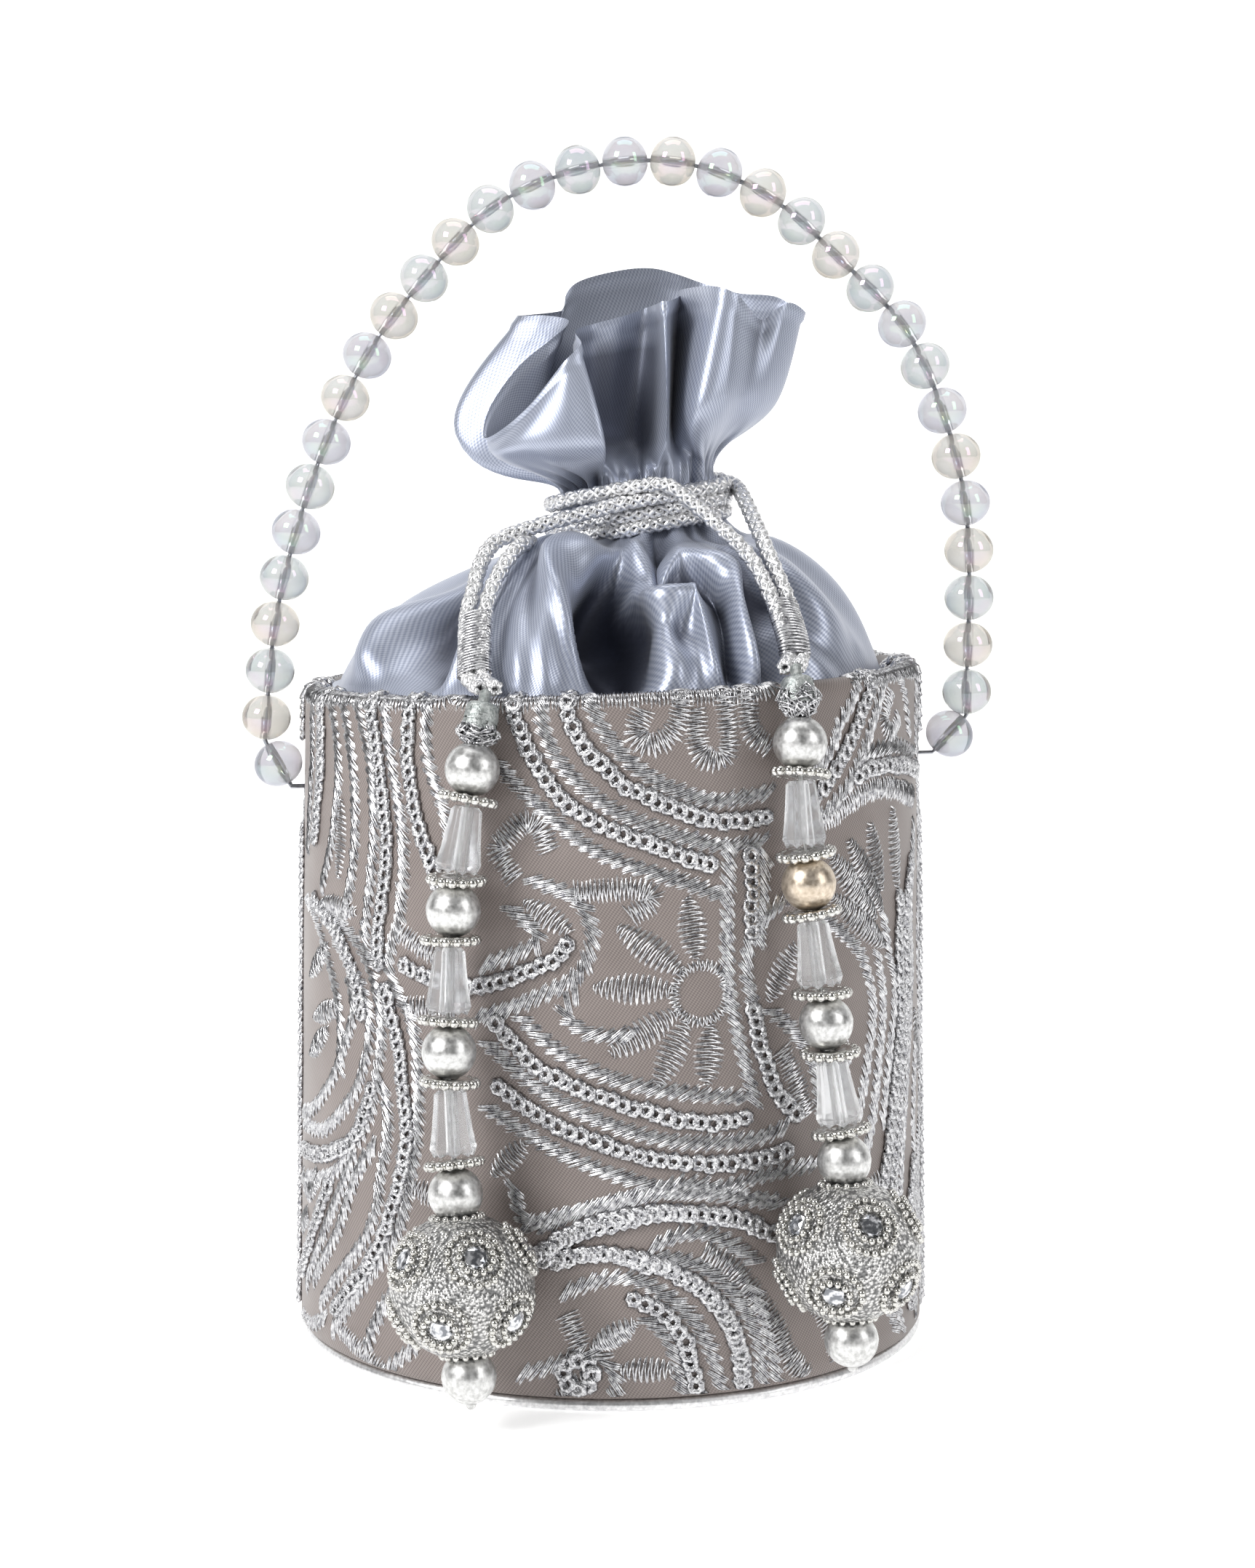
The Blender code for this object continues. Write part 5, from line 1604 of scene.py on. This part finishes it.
# Threads that overcast the rim, in the stretches where the cloth's edge is covered
RIM_EDGE = [
    ("comb", [(-88, 133.2), (-60, 133.2), (-34, 133.2)]),
    ("comb", [(-29, 133.2), (-10, 133.2), (12, 133.2), (31, 133.2)]),
    ("comb", [(57, 133.2), (72, 133.2), (90, 133.2)]),
]
FLOWER_RING = ring_of((17, 78), 5.3)
FOOT_FLOWER_RING = ring_of((-6, 7.5), 2.8)
LEAF_HALF_WIDTHS = {"leaf": 2.9, "long leaf": 3.5}
PATTERN = MIDDLE + LEFT_SIDE + FOOT + RIGHT_SIDE + SIDE_BANDS + RIM_EDGE


def sew_all(turned, seed):
    """All the stitches of one side, turned round the bag by some degrees."""
    rng = np.random.default_rng(seed)
    threads = Stitches("threads", silver_thread)
    rings = Stitches("rings", crinkled_silver)
    for kind, line in PATTERN:
        if kind == "rope":
            sew_rope(threads, line, rng)
        elif kind == "comb":
            sew_comb(threads, line, rng)
        elif kind == "chain":
            lay_chain(rings, line, rng)
        else:
            sew_leaf(threads, line, rng, LEAF_HALF_WIDTHS[kind])
    sew_comb(threads, FLOWER_RING, rng, 1.2)
    lay_chain(rings, FOOT_FLOWER_RING, rng)
    threads.finish_piece(turned)
    rings.finish_piece(turned)


print("lines to sew on each side:", len(PATTERN) + 2)
sew_all(0.0, 11)
sew_all(180.0, 12)

# %% [markdown]
# ## The satin pouch
# The pouch is one tube of satin. It lines the bucket, comes out over the board as a dome, is drawn in at
# the neck and opens again as a ruffle. A cloth simulation of so many gathers would need long tuning, so
# the folds are sculpted here instead. The cloth is a fine grid. Rings of points give its large form, and
# smooth lines drawn over the front lift ridges and press valleys into it. The rings are the frame's own
# up to the neck. Above it each column of the cloth is led to its own place on the open edge, so that the
# hem can dip at the front and double back, as the real one does.

# %% The rings of the dome
COVER_THICKNESS = 1.0 * MM
BOARD_THICKNESS = 2.2 * MM
LINING_FLOOR = 2.5 * MM + COVER_THICKNESS + 0.4 * MM + GAP + BOARD_THICKNESS + GAP
INSIDE_RADIUS = RIM_RADIUS - FLANGE_IN - GAP
NECK_REACH = 7.4 * MM
NECK_TOP = 6.6 * MM
FOLDS_IN_NECK = 0.22  # how much of the big folds is left in the neck
DOME_TILT = 0.6  # how much of the neck's tilt the top of the dome has
DOME_RINGS = [
    # height, radius, how deep the folds are
    (LINING_FLOOR, INSIDE_RADIUS - 4.0 * MM, 0.0),
    (LINING_FLOOR + 3.0 * MM, INSIDE_RADIUS, 0.0),
    (WALL_HEIGHT * 0.5, INSIDE_RADIUS, 0.0),
    (WALL_HEIGHT - 8.0 * MM, INSIDE_RADIUS, 0.0),
    (WALL_HEIGHT - 2.5 * MM, INSIDE_RADIUS - 0.8 * MM, 0.15),
    (WALL_HEIGHT + 4.5 * MM, 0.943 * INSIDE_RADIUS, 0.5),
    (WALL_HEIGHT + 11.0 * MM, 0.879 * INSIDE_RADIUS, 0.85),
    (WALL_HEIGHT + 17.0 * MM, 0.780 * INSIDE_RADIUS, 1.0),
    (WALL_HEIGHT + 22.0 * MM, 0.649 * INSIDE_RADIUS, 1.0),
    (WALL_HEIGHT + 25.5 * MM, 0.504 * INSIDE_RADIUS, 0.8),
    (WALL_HEIGHT + 25.8 * MM, 0.408 * INSIDE_RADIUS, 0.5),
]
# The dome's big folds: angle from the front towards the right, depth in millimetres, half-width
DOME_FOLDS = [
    (-172, 5.0, 11), (-140, 6.0, 11), (-110, 4.8, 9), (-83, 5.2, 10), (-54, 7.0, 10),
    (-29, 4.0, 8), (-3, 8.0, 9), (18, 5.0, 7), (39, 6.0, 8), (66, 4.6, 9),
    (95, 5.8, 10), (125, 4.8, 10), (155, 5.8, 10),
]


def fold_depth(degrees):
    depth = 0.0
    for middle, deep, half_width in DOME_FOLDS:
        away = (degrees - middle + 180) % 360 - 180
        depth += deep * MM * math.exp(-((away / half_width) ** 2))
    return depth


def dome_point(height, radius, folding, degrees):
    angle = math.radians(degrees)
    risen = max(0.0, (height - WALL_HEIGHT) / (NECK_HEIGHT - WALL_HEIGHT))
    r = radius - folding * fold_depth(degrees)
    x = r * math.sin(angle) + NECK_X * risen
    return Vector((x, -r * math.cos(angle), height + neck_rise(x) * DOME_TILT * risen**2))


def neck_point(level, degrees):
    angle = math.radians(degrees)
    r = NECK_RADIUS - FOLDS_IN_NECK * fold_depth(degrees)
    x = NECK_X + r * math.sin(angle)
    return Vector((x, -r * math.cos(angle), NECK_HEIGHT + level + neck_rise(x)))


# %% The ruffle's columns, read off the photograph
# Each row is a column of cloth, going round from the deep fold at the front by the left and the back. It has
# the angle at which the column leaves the neck, then the place halfway up and the place on the hem.
RUFFLE_COLUMNS = [
    (-4, (5.0, -4.0, 182.0), (6.4, -2.0, 205.9)),
    (-12, (0.0, -5.0, 182.0), (2.0, -5.0, 204.3)),
    (-18, (-4.5, -8.0, 182.0), (-4.0, -7.0, 202.6)),
    (-24, (-6.5, -15.5, 181.0), (-7.2, -12.0, 201.2)),
    (-31, (-1.5, -22.0, 180.0), (-6.0, -17.0, 198.4)),
    (-38, (-7.5, -22.5, 179.0), (-8.0, -19.0, 195.8)),
    (-46, (-13.0, -22.0, 178.0), (-10.5, -18.5, 192.2)),
    (-54, (-17.5, -20.0, 177.5), (-15.0, -17.5, 186.5)),
    (-62, (-21.5, -16.0, 176.5), (-20.5, -15.0, 182.0)),
    (-70, (-22.5, -11.0, 176.5), (-24.8, -10.0, 180.6)),
    (-78, (-19.0, -7.0, 178.0), (-24.0, -6.0, 186.4)),
    (-86, (-14.5, -4.0, 180.0), (-18.4, -2.0, 194.6)),
    (-94, (-12.0, 0.0, 182.0), (-12.0, 1.0, 200.0)),
    (-101, (-21.0, 3.0, 177.0), (-8.0, 3.5, 203.6)),
    (-108, (-28.5, 5.0, 178.0), (-13.0, 8.0, 205.0)),
    (-118, (-31.5, 8.5, 183.0), (-18.4, 11.0, 205.0)),
    (-132, (-26.0, 16.0, 187.0), (-15.5, 15.0, 205.5)),
    (-146, (-17.0, 17.0, 189.0), (-9.0, 18.0, 207.0)),
    (-158, (-10.0, 16.0, 190.0), (-9.3, 18.0, 209.6)),
    (-170, (-3.0, 16.0, 191.0), (-6.5, 19.0, 212.8)),
    (-182, (4.0, 16.0, 191.0), (1.0, 20.0, 215.0)),
    (-196, (11.0, 16.0, 190.0), (8.0, 20.0, 215.6)),
    (-210, (17.0, 15.0, 190.0), (14.0, 19.0, 214.2)),
    (-224, (23.0, 12.0, 190.0), (20.0, 18.0, 212.0)),
    (-238, (27.0, 8.0, 191.0), (26.0, 13.0, 210.0)),
    (-252, (32.0, 4.0, 188.5), (33.0, 6.0, 208.9)),
    (-264, (33.0, -2.0, 187.0), (38.4, 1.0, 205.5)),
    (-276, (30.0, -8.0, 187.0), (35.0, -5.0, 207.0)),
    (-286, (26.0, -12.5, 187.5), (29.5, -7.0, 203.5)),
    (-296, (22.0, -18.0, 187.5), (24.5, -14.0, 208.0)),
    (-308, (16.5, -18.5, 186.0), (20.0, -12.0, 209.8)),
    (-320, (12.5, -7.0, 185.0), (15.0, 2.0, 210.0)),
    (-330, (12.0, -8.0, 184.0), (13.0, 2.0, 208.6)),
    (-340, (11.0, -19.0, 183.0), (10.6, -12.0, 206.8)),
    (-350, (8.0, -9.0, 181.0), (9.2, -5.0, 206.6)),
]
COLUMN_STEPS = 18
DOME_STEPS = (3, 8, 4, 3, 5, 5, 6, 6, 5, 4)
NECK_STEPS = (4, 5, 5)
RUFFLE_STEPS = (14, 16)


def round_through(knots, parameter):
    """A point of the closed smooth curve through the knots."""
    i = int(parameter)
    neighbours = [knots[(i + off) % len(knots)] for off in (-1, 0, 1, 2)]
    return between(*neighbours, parameter - i)


def column_angle(parameter):
    """The angle at the neck for a place between two of the columns."""
    i = int(parameter) % len(RUFFLE_COLUMNS)
    t = parameter - int(parameter)
    start = RUFFLE_COLUMNS[i][0]
    end = RUFFLE_COLUMNS[(i + 1) % len(RUFFLE_COLUMNS)][0]
    if end > start:
        end -= 360
    return start + (end - start) * t


def cloth_column(parameter):
    """All the points of one column of the cloth, from the floor of the lining to the hem."""
    degrees = column_angle(parameter)
    middles = [Vector(row[1]) * MM for row in RUFFLE_COLUMNS]
    hems = [Vector(row[2]) * MM for row in RUFFLE_COLUMNS]
    knots = [dome_point(*ring, degrees) for ring in DOME_RINGS]
    knots += [neck_point(level, degrees) for level in (-NECK_REACH * 0.5, 0.0, NECK_TOP)]
    knots.append(round_through(middles, parameter))
    knots.append(round_through(hems, parameter))
    steps = DOME_STEPS + NECK_STEPS + RUFFLE_STEPS
    column = []
    for i, count in enumerate(steps):
        for k in range(count):
            column.append(smooth_through(knots, i + k / count))
    column.append(knots[-1])
    return column


columns = [
    cloth_column(i / COLUMN_STEPS) for i in range(len(RUFFLE_COLUMNS) * COLUMN_STEPS)
]
cloth = np.array([[tuple(point) for point in column] for column in columns]) / MM
print("cloth grid:", cloth.shape[0], "columns of", cloth.shape[1], "points")

# %% [markdown]
# ## Folds on the dome
# Each line below is one fold of the front, as (height, half-width, line). The lines are drawn in the front
# view, in millimetres, where the camera sees them. A point of the cloth moves along its normal by the
# height, less the farther it lies from the line. A negative height presses a valley.

# %% Fold lines
FRONT_FOLDS = [
    (4.5, 3.0, [(-47, 134.5), (-44.5, 143.5), (-40, 151), (-34.5, 155.5), (-25, 157.5)]),
    (-6.5, 4.5, [(-35.5, 134), (-34, 143), (-31, 149.5), (-27, 154)]),
    (1.9, 1.3, [(-32, 133.5), (-29.5, 138.5), (-28, 142.5)]),
    (3.5, 2.2, [(-23, 134), (-22.5, 142), (-19.5, 150.5), (-16.5, 156.5), (-11.5, 158.5)]),
    (1.6, 1.6, [(-16.5, 134), (-17, 142), (-16, 149.5), (-12.5, 155.5)]),
    (1.6, 1.6, [(-11.5, 134), (-12.5, 142), (-12.5, 149.5), (-10.5, 155)]),
    (6.2, 2.0, [(-3.5, 133.5), (-6, 140), (-8.5, 148), (-10, 153.5), (-7, 157.5), (0.5, 157.5)]),
    (-13.5, 4.2, [(-0.5, 135), (-1.5, 142), (-2, 148), (1.0, 154)]),
    (-4.7, 3.5, [(6, 135.5), (4.5, 142), (0.5, 147.5)]),
    (6.0, 2.0, [(20, 134.5), (19, 140), (18, 145), (16.5, 148.4), (13.5, 150.3), (9.5, 150.4),
                (5.5, 150.6), (2.8, 152.4)]),
    (4.4, 1.9, [(2.8, 152.4), (2.8, 155.6), (5, 159.5)]),
    (3.2, 4.0, [(11.5, 134), (11.5, 141), (11, 147.5)]),
    (-4.1, 2.6, [(13.5, 143.5), (11, 146.5), (6, 147.5), (3.5, 149.5)]),
    (-7.5, 2.2, [(23.5, 134), (21.5, 139.5), (20.5, 145.5), (19, 151), (16, 153.5), (9.5, 154), (9, 158)]),
    (5.8, 1.8, [(26.5, 134.5), (25, 142), (23.5, 149), (22.5, 154.5), (17, 156), (11.5, 156.5)]),
    (-3.5, 3.0, [(30.5, 134), (28, 141.5), (26, 149), (24, 156.5)]),
    (2.4, 2.4, [(42.5, 134.5), (37.5, 139), (32, 142.5)]),
    (2.4, 3.0, [(49, 135), (44.5, 142.5), (39, 148.5), (32, 155)]),
    (-2.4, 2.6, [(46, 134), (41, 139.5), (35.5, 145), (30.5, 149)]),
]
NECK_ROW = sum(DOME_STEPS) + NECK_STEPS[0] + NECK_STEPS[1]
DOME_START_ROW = sum(DOME_STEPS[:4])
# The hem is folded over once, so its last rows stand out by the cloth's own thickness.
HEM_ROWS = 3
HEM_THICKNESS = 0.45
# Pleats round the neck: how many, and how high. Ripples over the cloth: how many, climb a row, height.
NECK_PLEATS = ((23, 0.55), (31, 0.5), (41, 0.35))
RIPPLES = ((5, 0.11, 0.25), (9, 0.17, 0.15))
COLUMN_ANGLES = np.array([column_angle(i / COLUMN_STEPS) for i in range(len(columns))])[:, None]

# %% Measuring on the cloth


def ramp(values, start, run):
    """0 up to the start, then rising to 1 over the run. A negative run goes the other way."""
    return np.clip((values - start) / run, 0, 1)


def cloth_normals(grid):
    """A unit normal at each point of the grid, pointing out of the dome."""
    around = np.roll(grid, -1, axis=0) - np.roll(grid, 1, axis=0)
    up = np.gradient(grid, axis=1)
    normals = np.cross(up, around)
    lengths = np.linalg.norm(normals, axis=2, keepdims=True)
    return normals / np.maximum(lengths, 1e-9)


def distance_to_line(x, z, line):
    """How far each point of the front view is from a smooth line."""
    knots = [Vector((a, b, 0)) for a, b in line]
    drawn = np.array([(p.x, p.y) for p in evenly_along(knots, spacing=0.6)])
    nearest = np.full(x.shape, 1e9)
    for a, b in drawn:
        nearest = np.minimum(nearest, np.hypot(x - a, z - b))
    return nearest

# %% Pressing the folds


def soften_creases(grid, times=5):
    """Evens out the cloth of the dome a little, because satin has no knife-sharp creases."""
    rows = np.arange(grid.shape[1])[None, :, None]
    share = 0.6 * ramp(rows, DOME_START_ROW, 3.0) * ramp(rows, NECK_ROW - 3, -3.0)
    for _ in range(times):
        beside = (np.roll(grid, 1, axis=0) + np.roll(grid, -1, axis=0)) / 2
        above = grid.copy()
        above[:, 1:-1] = (grid[:, 2:] + grid[:, :-2]) / 2
        grid = grid * (1 - share) + (beside + above) / 2 * share
    return grid


def press_folds(grid):
    """Front folds, small pleats by the neck, and the slow ripples of soft cloth."""
    normals = cloth_normals(grid)
    x, y, z = np.moveaxis(grid, 2, 0)
    rows = np.arange(grid.shape[1])[None, :]
    lift = np.zeros(x.shape)
    front = 1 / (1 + np.exp((y + 10.0) / 4.0))
    out_of_bucket = ramp(z, 130.0, 6.0)
    below_neck = ramp(rows, NECK_ROW - 4, -6.0)
    for height, half_width, line in FRONT_FOLDS:
        away = distance_to_line(x, z, line) / half_width
        lift += height * np.exp(-(away**1.6)) * front * out_of_bucket * below_neck
    rng = np.random.default_rng(5)
    angle = np.radians(COLUMN_ANGLES)
    by_neck = np.exp(-((np.abs(rows - NECK_ROW) / 9.0) ** 2))
    for waves, size in NECK_PLEATS:
        phase = rng.uniform(0, 2 * math.pi)
        drift = 0.35 * np.sin(rows / 9.0 + phase)
        lift += size * np.sin(waves * angle + phase + drift) * by_neck
    for waves, climb, size in RIPPLES:
        phase = rng.uniform(0, 2 * math.pi)
        lift += size * np.sin(waves * angle + climb * rows + phase) * ramp(z, 133.0, 8.0)
    lift *= ramp(rows, DOME_START_ROW, 3.0)
    lift += HEM_THICKNESS * ramp(rows, grid.shape[1] - 1 - HEM_ROWS, 1.0)
    return soften_creases(grid + normals * lift[:, :, None])

# %% Painted shade, by how deep each point lies in a fold


def depth_inside_rings(grid):
    """How far each point lies inside the outline of its own ring of cloth, in millimetres."""
    depth = np.full(grid.shape[:2], 1e9)
    for turn in np.linspace(0, 2 * math.pi, 48, endpoint=False):
        reach = grid[:, :, 0] * math.cos(turn) + grid[:, :, 1] * math.sin(turn)
        depth = np.minimum(depth, reach.max(axis=0)[None, :] - reach)
    return depth


def painted_fold_shade(grid):
    """Painted shade for each point, by how deep it lies in a fold: 0 on the open cloth, 1 at the bottom of a
    deep fold.
    """
    normals = cloth_normals(grid)
    # Small painted shade: darker where a point lies below its neighbours, in the valleys of the folds.
    small = np.zeros(grid.shape[:2])
    for columns_off, rows_off in ((6, 2), (12, 4), (20, 7)):
        beside = (np.roll(grid, columns_off, axis=0) + np.roll(grid, -columns_off, axis=0)) / 2
        padded = np.pad(grid, ((0, 0), (rows_off, rows_off), (0, 0)), mode="edge")
        above = (padded[:, 2 * rows_off :] + padded[:, : -2 * rows_off]) / 2
        sunk = ((beside + above) / 2 - grid) * normals
        small += np.clip(sunk.sum(axis=2) / (0.14 * columns_off), 0, 1) / 3
    # Large painted shade, deep inside the ruffle: it darkens only the front of the ruffle and fades out on
    # the hem's last rows, so the hem's band stays light.
    rows = np.arange(grid.shape[1])[None, :]
    in_ruffle = ramp(rows, NECK_ROW + NECK_STEPS[2], 6.0)
    from_front = np.abs((COLUMN_ANGLES + 5.0 + 180) % 360 - 180)
    at_front = ramp(from_front, 62.0, -18.0)
    below_hem = np.maximum(ramp(rows, grid.shape[1] - 1 - HEM_ROWS, -3.0), 0.15)
    large = np.minimum(ramp(depth_inside_rings(grid), 6.0, 10.0), 0.8)
    return np.maximum(small, large * in_ruffle * at_front * below_hem)


folded = press_folds(cloth)
# The painted shade of each point of the cloth, from 0 to 1.
shade = painted_fold_shade(folded)
print("folds move the cloth by up to", round(float(np.abs(folded - cloth).max()), 1), "mm")

# %% The satin and the finished pouch
blue_satin = satin_finish(
    "blue_satin", (0.25, 0.28, 0.375), (0.55, 0.585, 0.675), 0.85 * MM, 38, 0.40, 0.1, rib_bump=0.22
)
blue_shader = blue_satin.node_tree.nodes["Principled BSDF"]
blue_shader.inputs["Metallic"].default_value = 0.5


def paint_shade_into_folds(made, shader, painted_shade_colour):
    """Paints shade into the folds: the colour goes to a deep blue by the painted shade that the cloth holds
    in its fold_depth attribute.
    """
    tree = made.node_tree
    plain = shader.inputs["Base Color"].links[0].from_socket
    depth = tree.nodes.new("ShaderNodeAttribute")
    depth.attribute_name = "fold_depth"
    mixed = tree.nodes.new("ShaderNodeMix")
    mixed.data_type = "RGBA"
    # A Mix node has its colours at inputs 6 and 7 and its mixed colour at output 2.
    mixed.inputs[7].default_value = (*painted_shade_colour, 1.0)
    tree.links.new(depth.outputs["Fac"], mixed.inputs[0])
    tree.links.new(plain, mixed.inputs[6])
    tree.links.new(mixed.outputs[2], shader.inputs["Base Color"])


# The deepest folds are painted a deep blue, as shade.
paint_shade_into_folds(blue_satin, blue_shader, (0.05, 0.055, 0.08))


def make_pouch(grid, depth):
    """The cloth as one piece. Its round floor is cut apart from the tube, where the lining has a seam."""
    columns_count, rows = grid.shape[:2]
    points = [Vector(p) * MM for p in grid.reshape(-1, 3).tolist()]
    floor = len(points)
    points.extend(points[i * rows].copy() for i in range(columns_count))
    middle = len(points)
    points.append(Vector((0, 0, LINING_FLOOR)))
    faces = []
    for i in range(columns_count):
        j = (i + 1) % columns_count
        for k in range(rows - 1):
            faces.append((j * rows + k, i * rows + k, i * rows + k + 1, j * rows + k + 1))
        faces.append((middle, floor + i, floor + j))
    pouch = piece_from("satin_cloth", points, faces, blue_satin)
    steps = np.linalg.norm(np.diff(grid, axis=1), axis=2).mean(axis=0) * MM
    lengths = np.concatenate([[0.0], np.cumsum(steps)])
    girth = 2 * math.pi * INSIDE_RADIUS
    layer = pouch.data.uv_layers.new(name="cloth")
    corners = np.empty(len(pouch.data.loops), dtype=np.int64)
    pouch.data.loops.foreach_get("vertex_index", corners)
    uvs = np.empty((len(corners), 2))
    turn = corners // rows
    starts = np.array([polygon.loop_start for polygon in pouch.data.polygons])
    totals = np.array([polygon.loop_total for polygon in pouch.data.polygons])
    owner = np.repeat(np.arange(len(starts)), totals)
    highest = np.maximum.reduceat(np.where(corners < floor, turn, 0), starts)
    wraps = (highest[owner] == columns_count - 1) & (turn == 0)
    uvs[:, 0] = girth * (turn + np.where(wraps, columns_count, 0)) / columns_count
    uvs[:, 1] = np.where(corners < floor, lengths[corners % rows], 0.0)
    layer.data.foreach_set("uv", uvs.ravel())
    # The painted shade of the folds goes on the cloth, one value a point, under the attribute fold_depth.
    painted_shade_layer = pouch.data.attributes.new("fold_depth", "FLOAT", "POINT")
    values = np.zeros(len(points), dtype=np.float32)
    values[:floor] = depth.ravel()
    painted_shade_layer.data.foreach_set("value", values)
    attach(pouch, "bag")
    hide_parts("satin_pouch")


make_pouch(folded, shade)

# %% [markdown]
# ## Floor and light
# The bag stood on white paper under large soft lights. A white floor that curves up behind the bag, a
# pale sky and three big area lights do the same. The light from the upper left is the strongest, so the
# satin's folds and the metal thread get a bright side and a darker one.

# %% Paper floor
PAPER_HALF_WIDTH = 2.5
PAPER_FRONT = -1.6
CURVE_START = 0.5  # how far behind the bag's axis the paper begins to curve up
CURVE_RADIUS = 0.5
CURVE_STEPS = 12
PAPER_TOP = 2.0


def paper_finish():
    made, tree, shader = new_finish("white_paper")
    fibre = object_noise(tree, 60.0, 4.0).outputs["Fac"]
    colour = two_colours(tree, fibre, (0.93, 0.93, 0.93), (0.95, 0.95, 0.95))
    tree.links.new(colour, shader.inputs["Base Color"])
    shader.inputs["Roughness"].default_value = 0.9
    shader.inputs["Specular IOR Level"].default_value = 0.1
    shader.inputs["Emission Color"].default_value = (1.0, 1.0, 1.0, 1.0)
    shader.inputs["Emission Strength"].default_value = 0.50
    return made


def make_floor():
    """A sheet of paper that lies under the bag and curves up behind it."""
    section = [(PAPER_FRONT, 0.0), (CURVE_START, 0.0)]
    for i in range(1, CURVE_STEPS + 1):
        turn = math.pi / 2 * i / CURVE_STEPS
        behind = CURVE_START + CURVE_RADIUS * math.sin(turn)
        section.append((behind, CURVE_RADIUS - CURVE_RADIUS * math.cos(turn)))
    section.append((CURVE_START + CURVE_RADIUS, PAPER_TOP))
    points = []
    for y, z in section:
        points += [(-PAPER_HALF_WIDTH, y, z), (PAPER_HALF_WIDTH, y, z)]
    faces = [(2 * i, 2 * i + 1, 2 * i + 3, 2 * i + 2) for i in range(len(section) - 1)]
    floor = piece_from("paper_floor", points, faces, paper_finish())
    print("floor:", len(faces), "strips of paper")


make_floor()

# %% Lights


def area_light(name, place, target, size, watts):
    data = bpy.data.lights.new(name, "AREA")
    data.shape = "RECTANGLE"
    data.size = size[0]
    data.size_y = size[1]
    data.energy = watts
    light = bpy.data.objects.new(name, data)
    bpy.context.scene.collection.objects.link(light)
    light.location = place
    light.rotation_euler = (Vector(target) - Vector(place)).to_track_quat("-Z", "Y").to_euler()


MIDDLE_OF_BAG = (0, 0, 0.12)
area_light("left_softbox", (-0.75, -0.65, 0.75), MIDDLE_OF_BAG, (0.42, 0.42), 10.5)
area_light("right_softbox", (0.85, -0.55, 0.55), MIDDLE_OF_BAG, (0.3, 0.7), 3.0)
area_light("top_softbox", (0.0, 0.1, 1.1), MIDDLE_OF_BAG, (0.8, 0.5), 3.0)

world = bpy.data.worlds.new("studio")
bpy.context.scene.world = world
world.use_nodes = True
sky = world.node_tree.nodes["Background"].inputs
sky["Color"].default_value = (1.0, 1.0, 1.0, 1.0)
sky["Strength"].default_value = 0.17
print("lights: three softboxes and a pale sky")
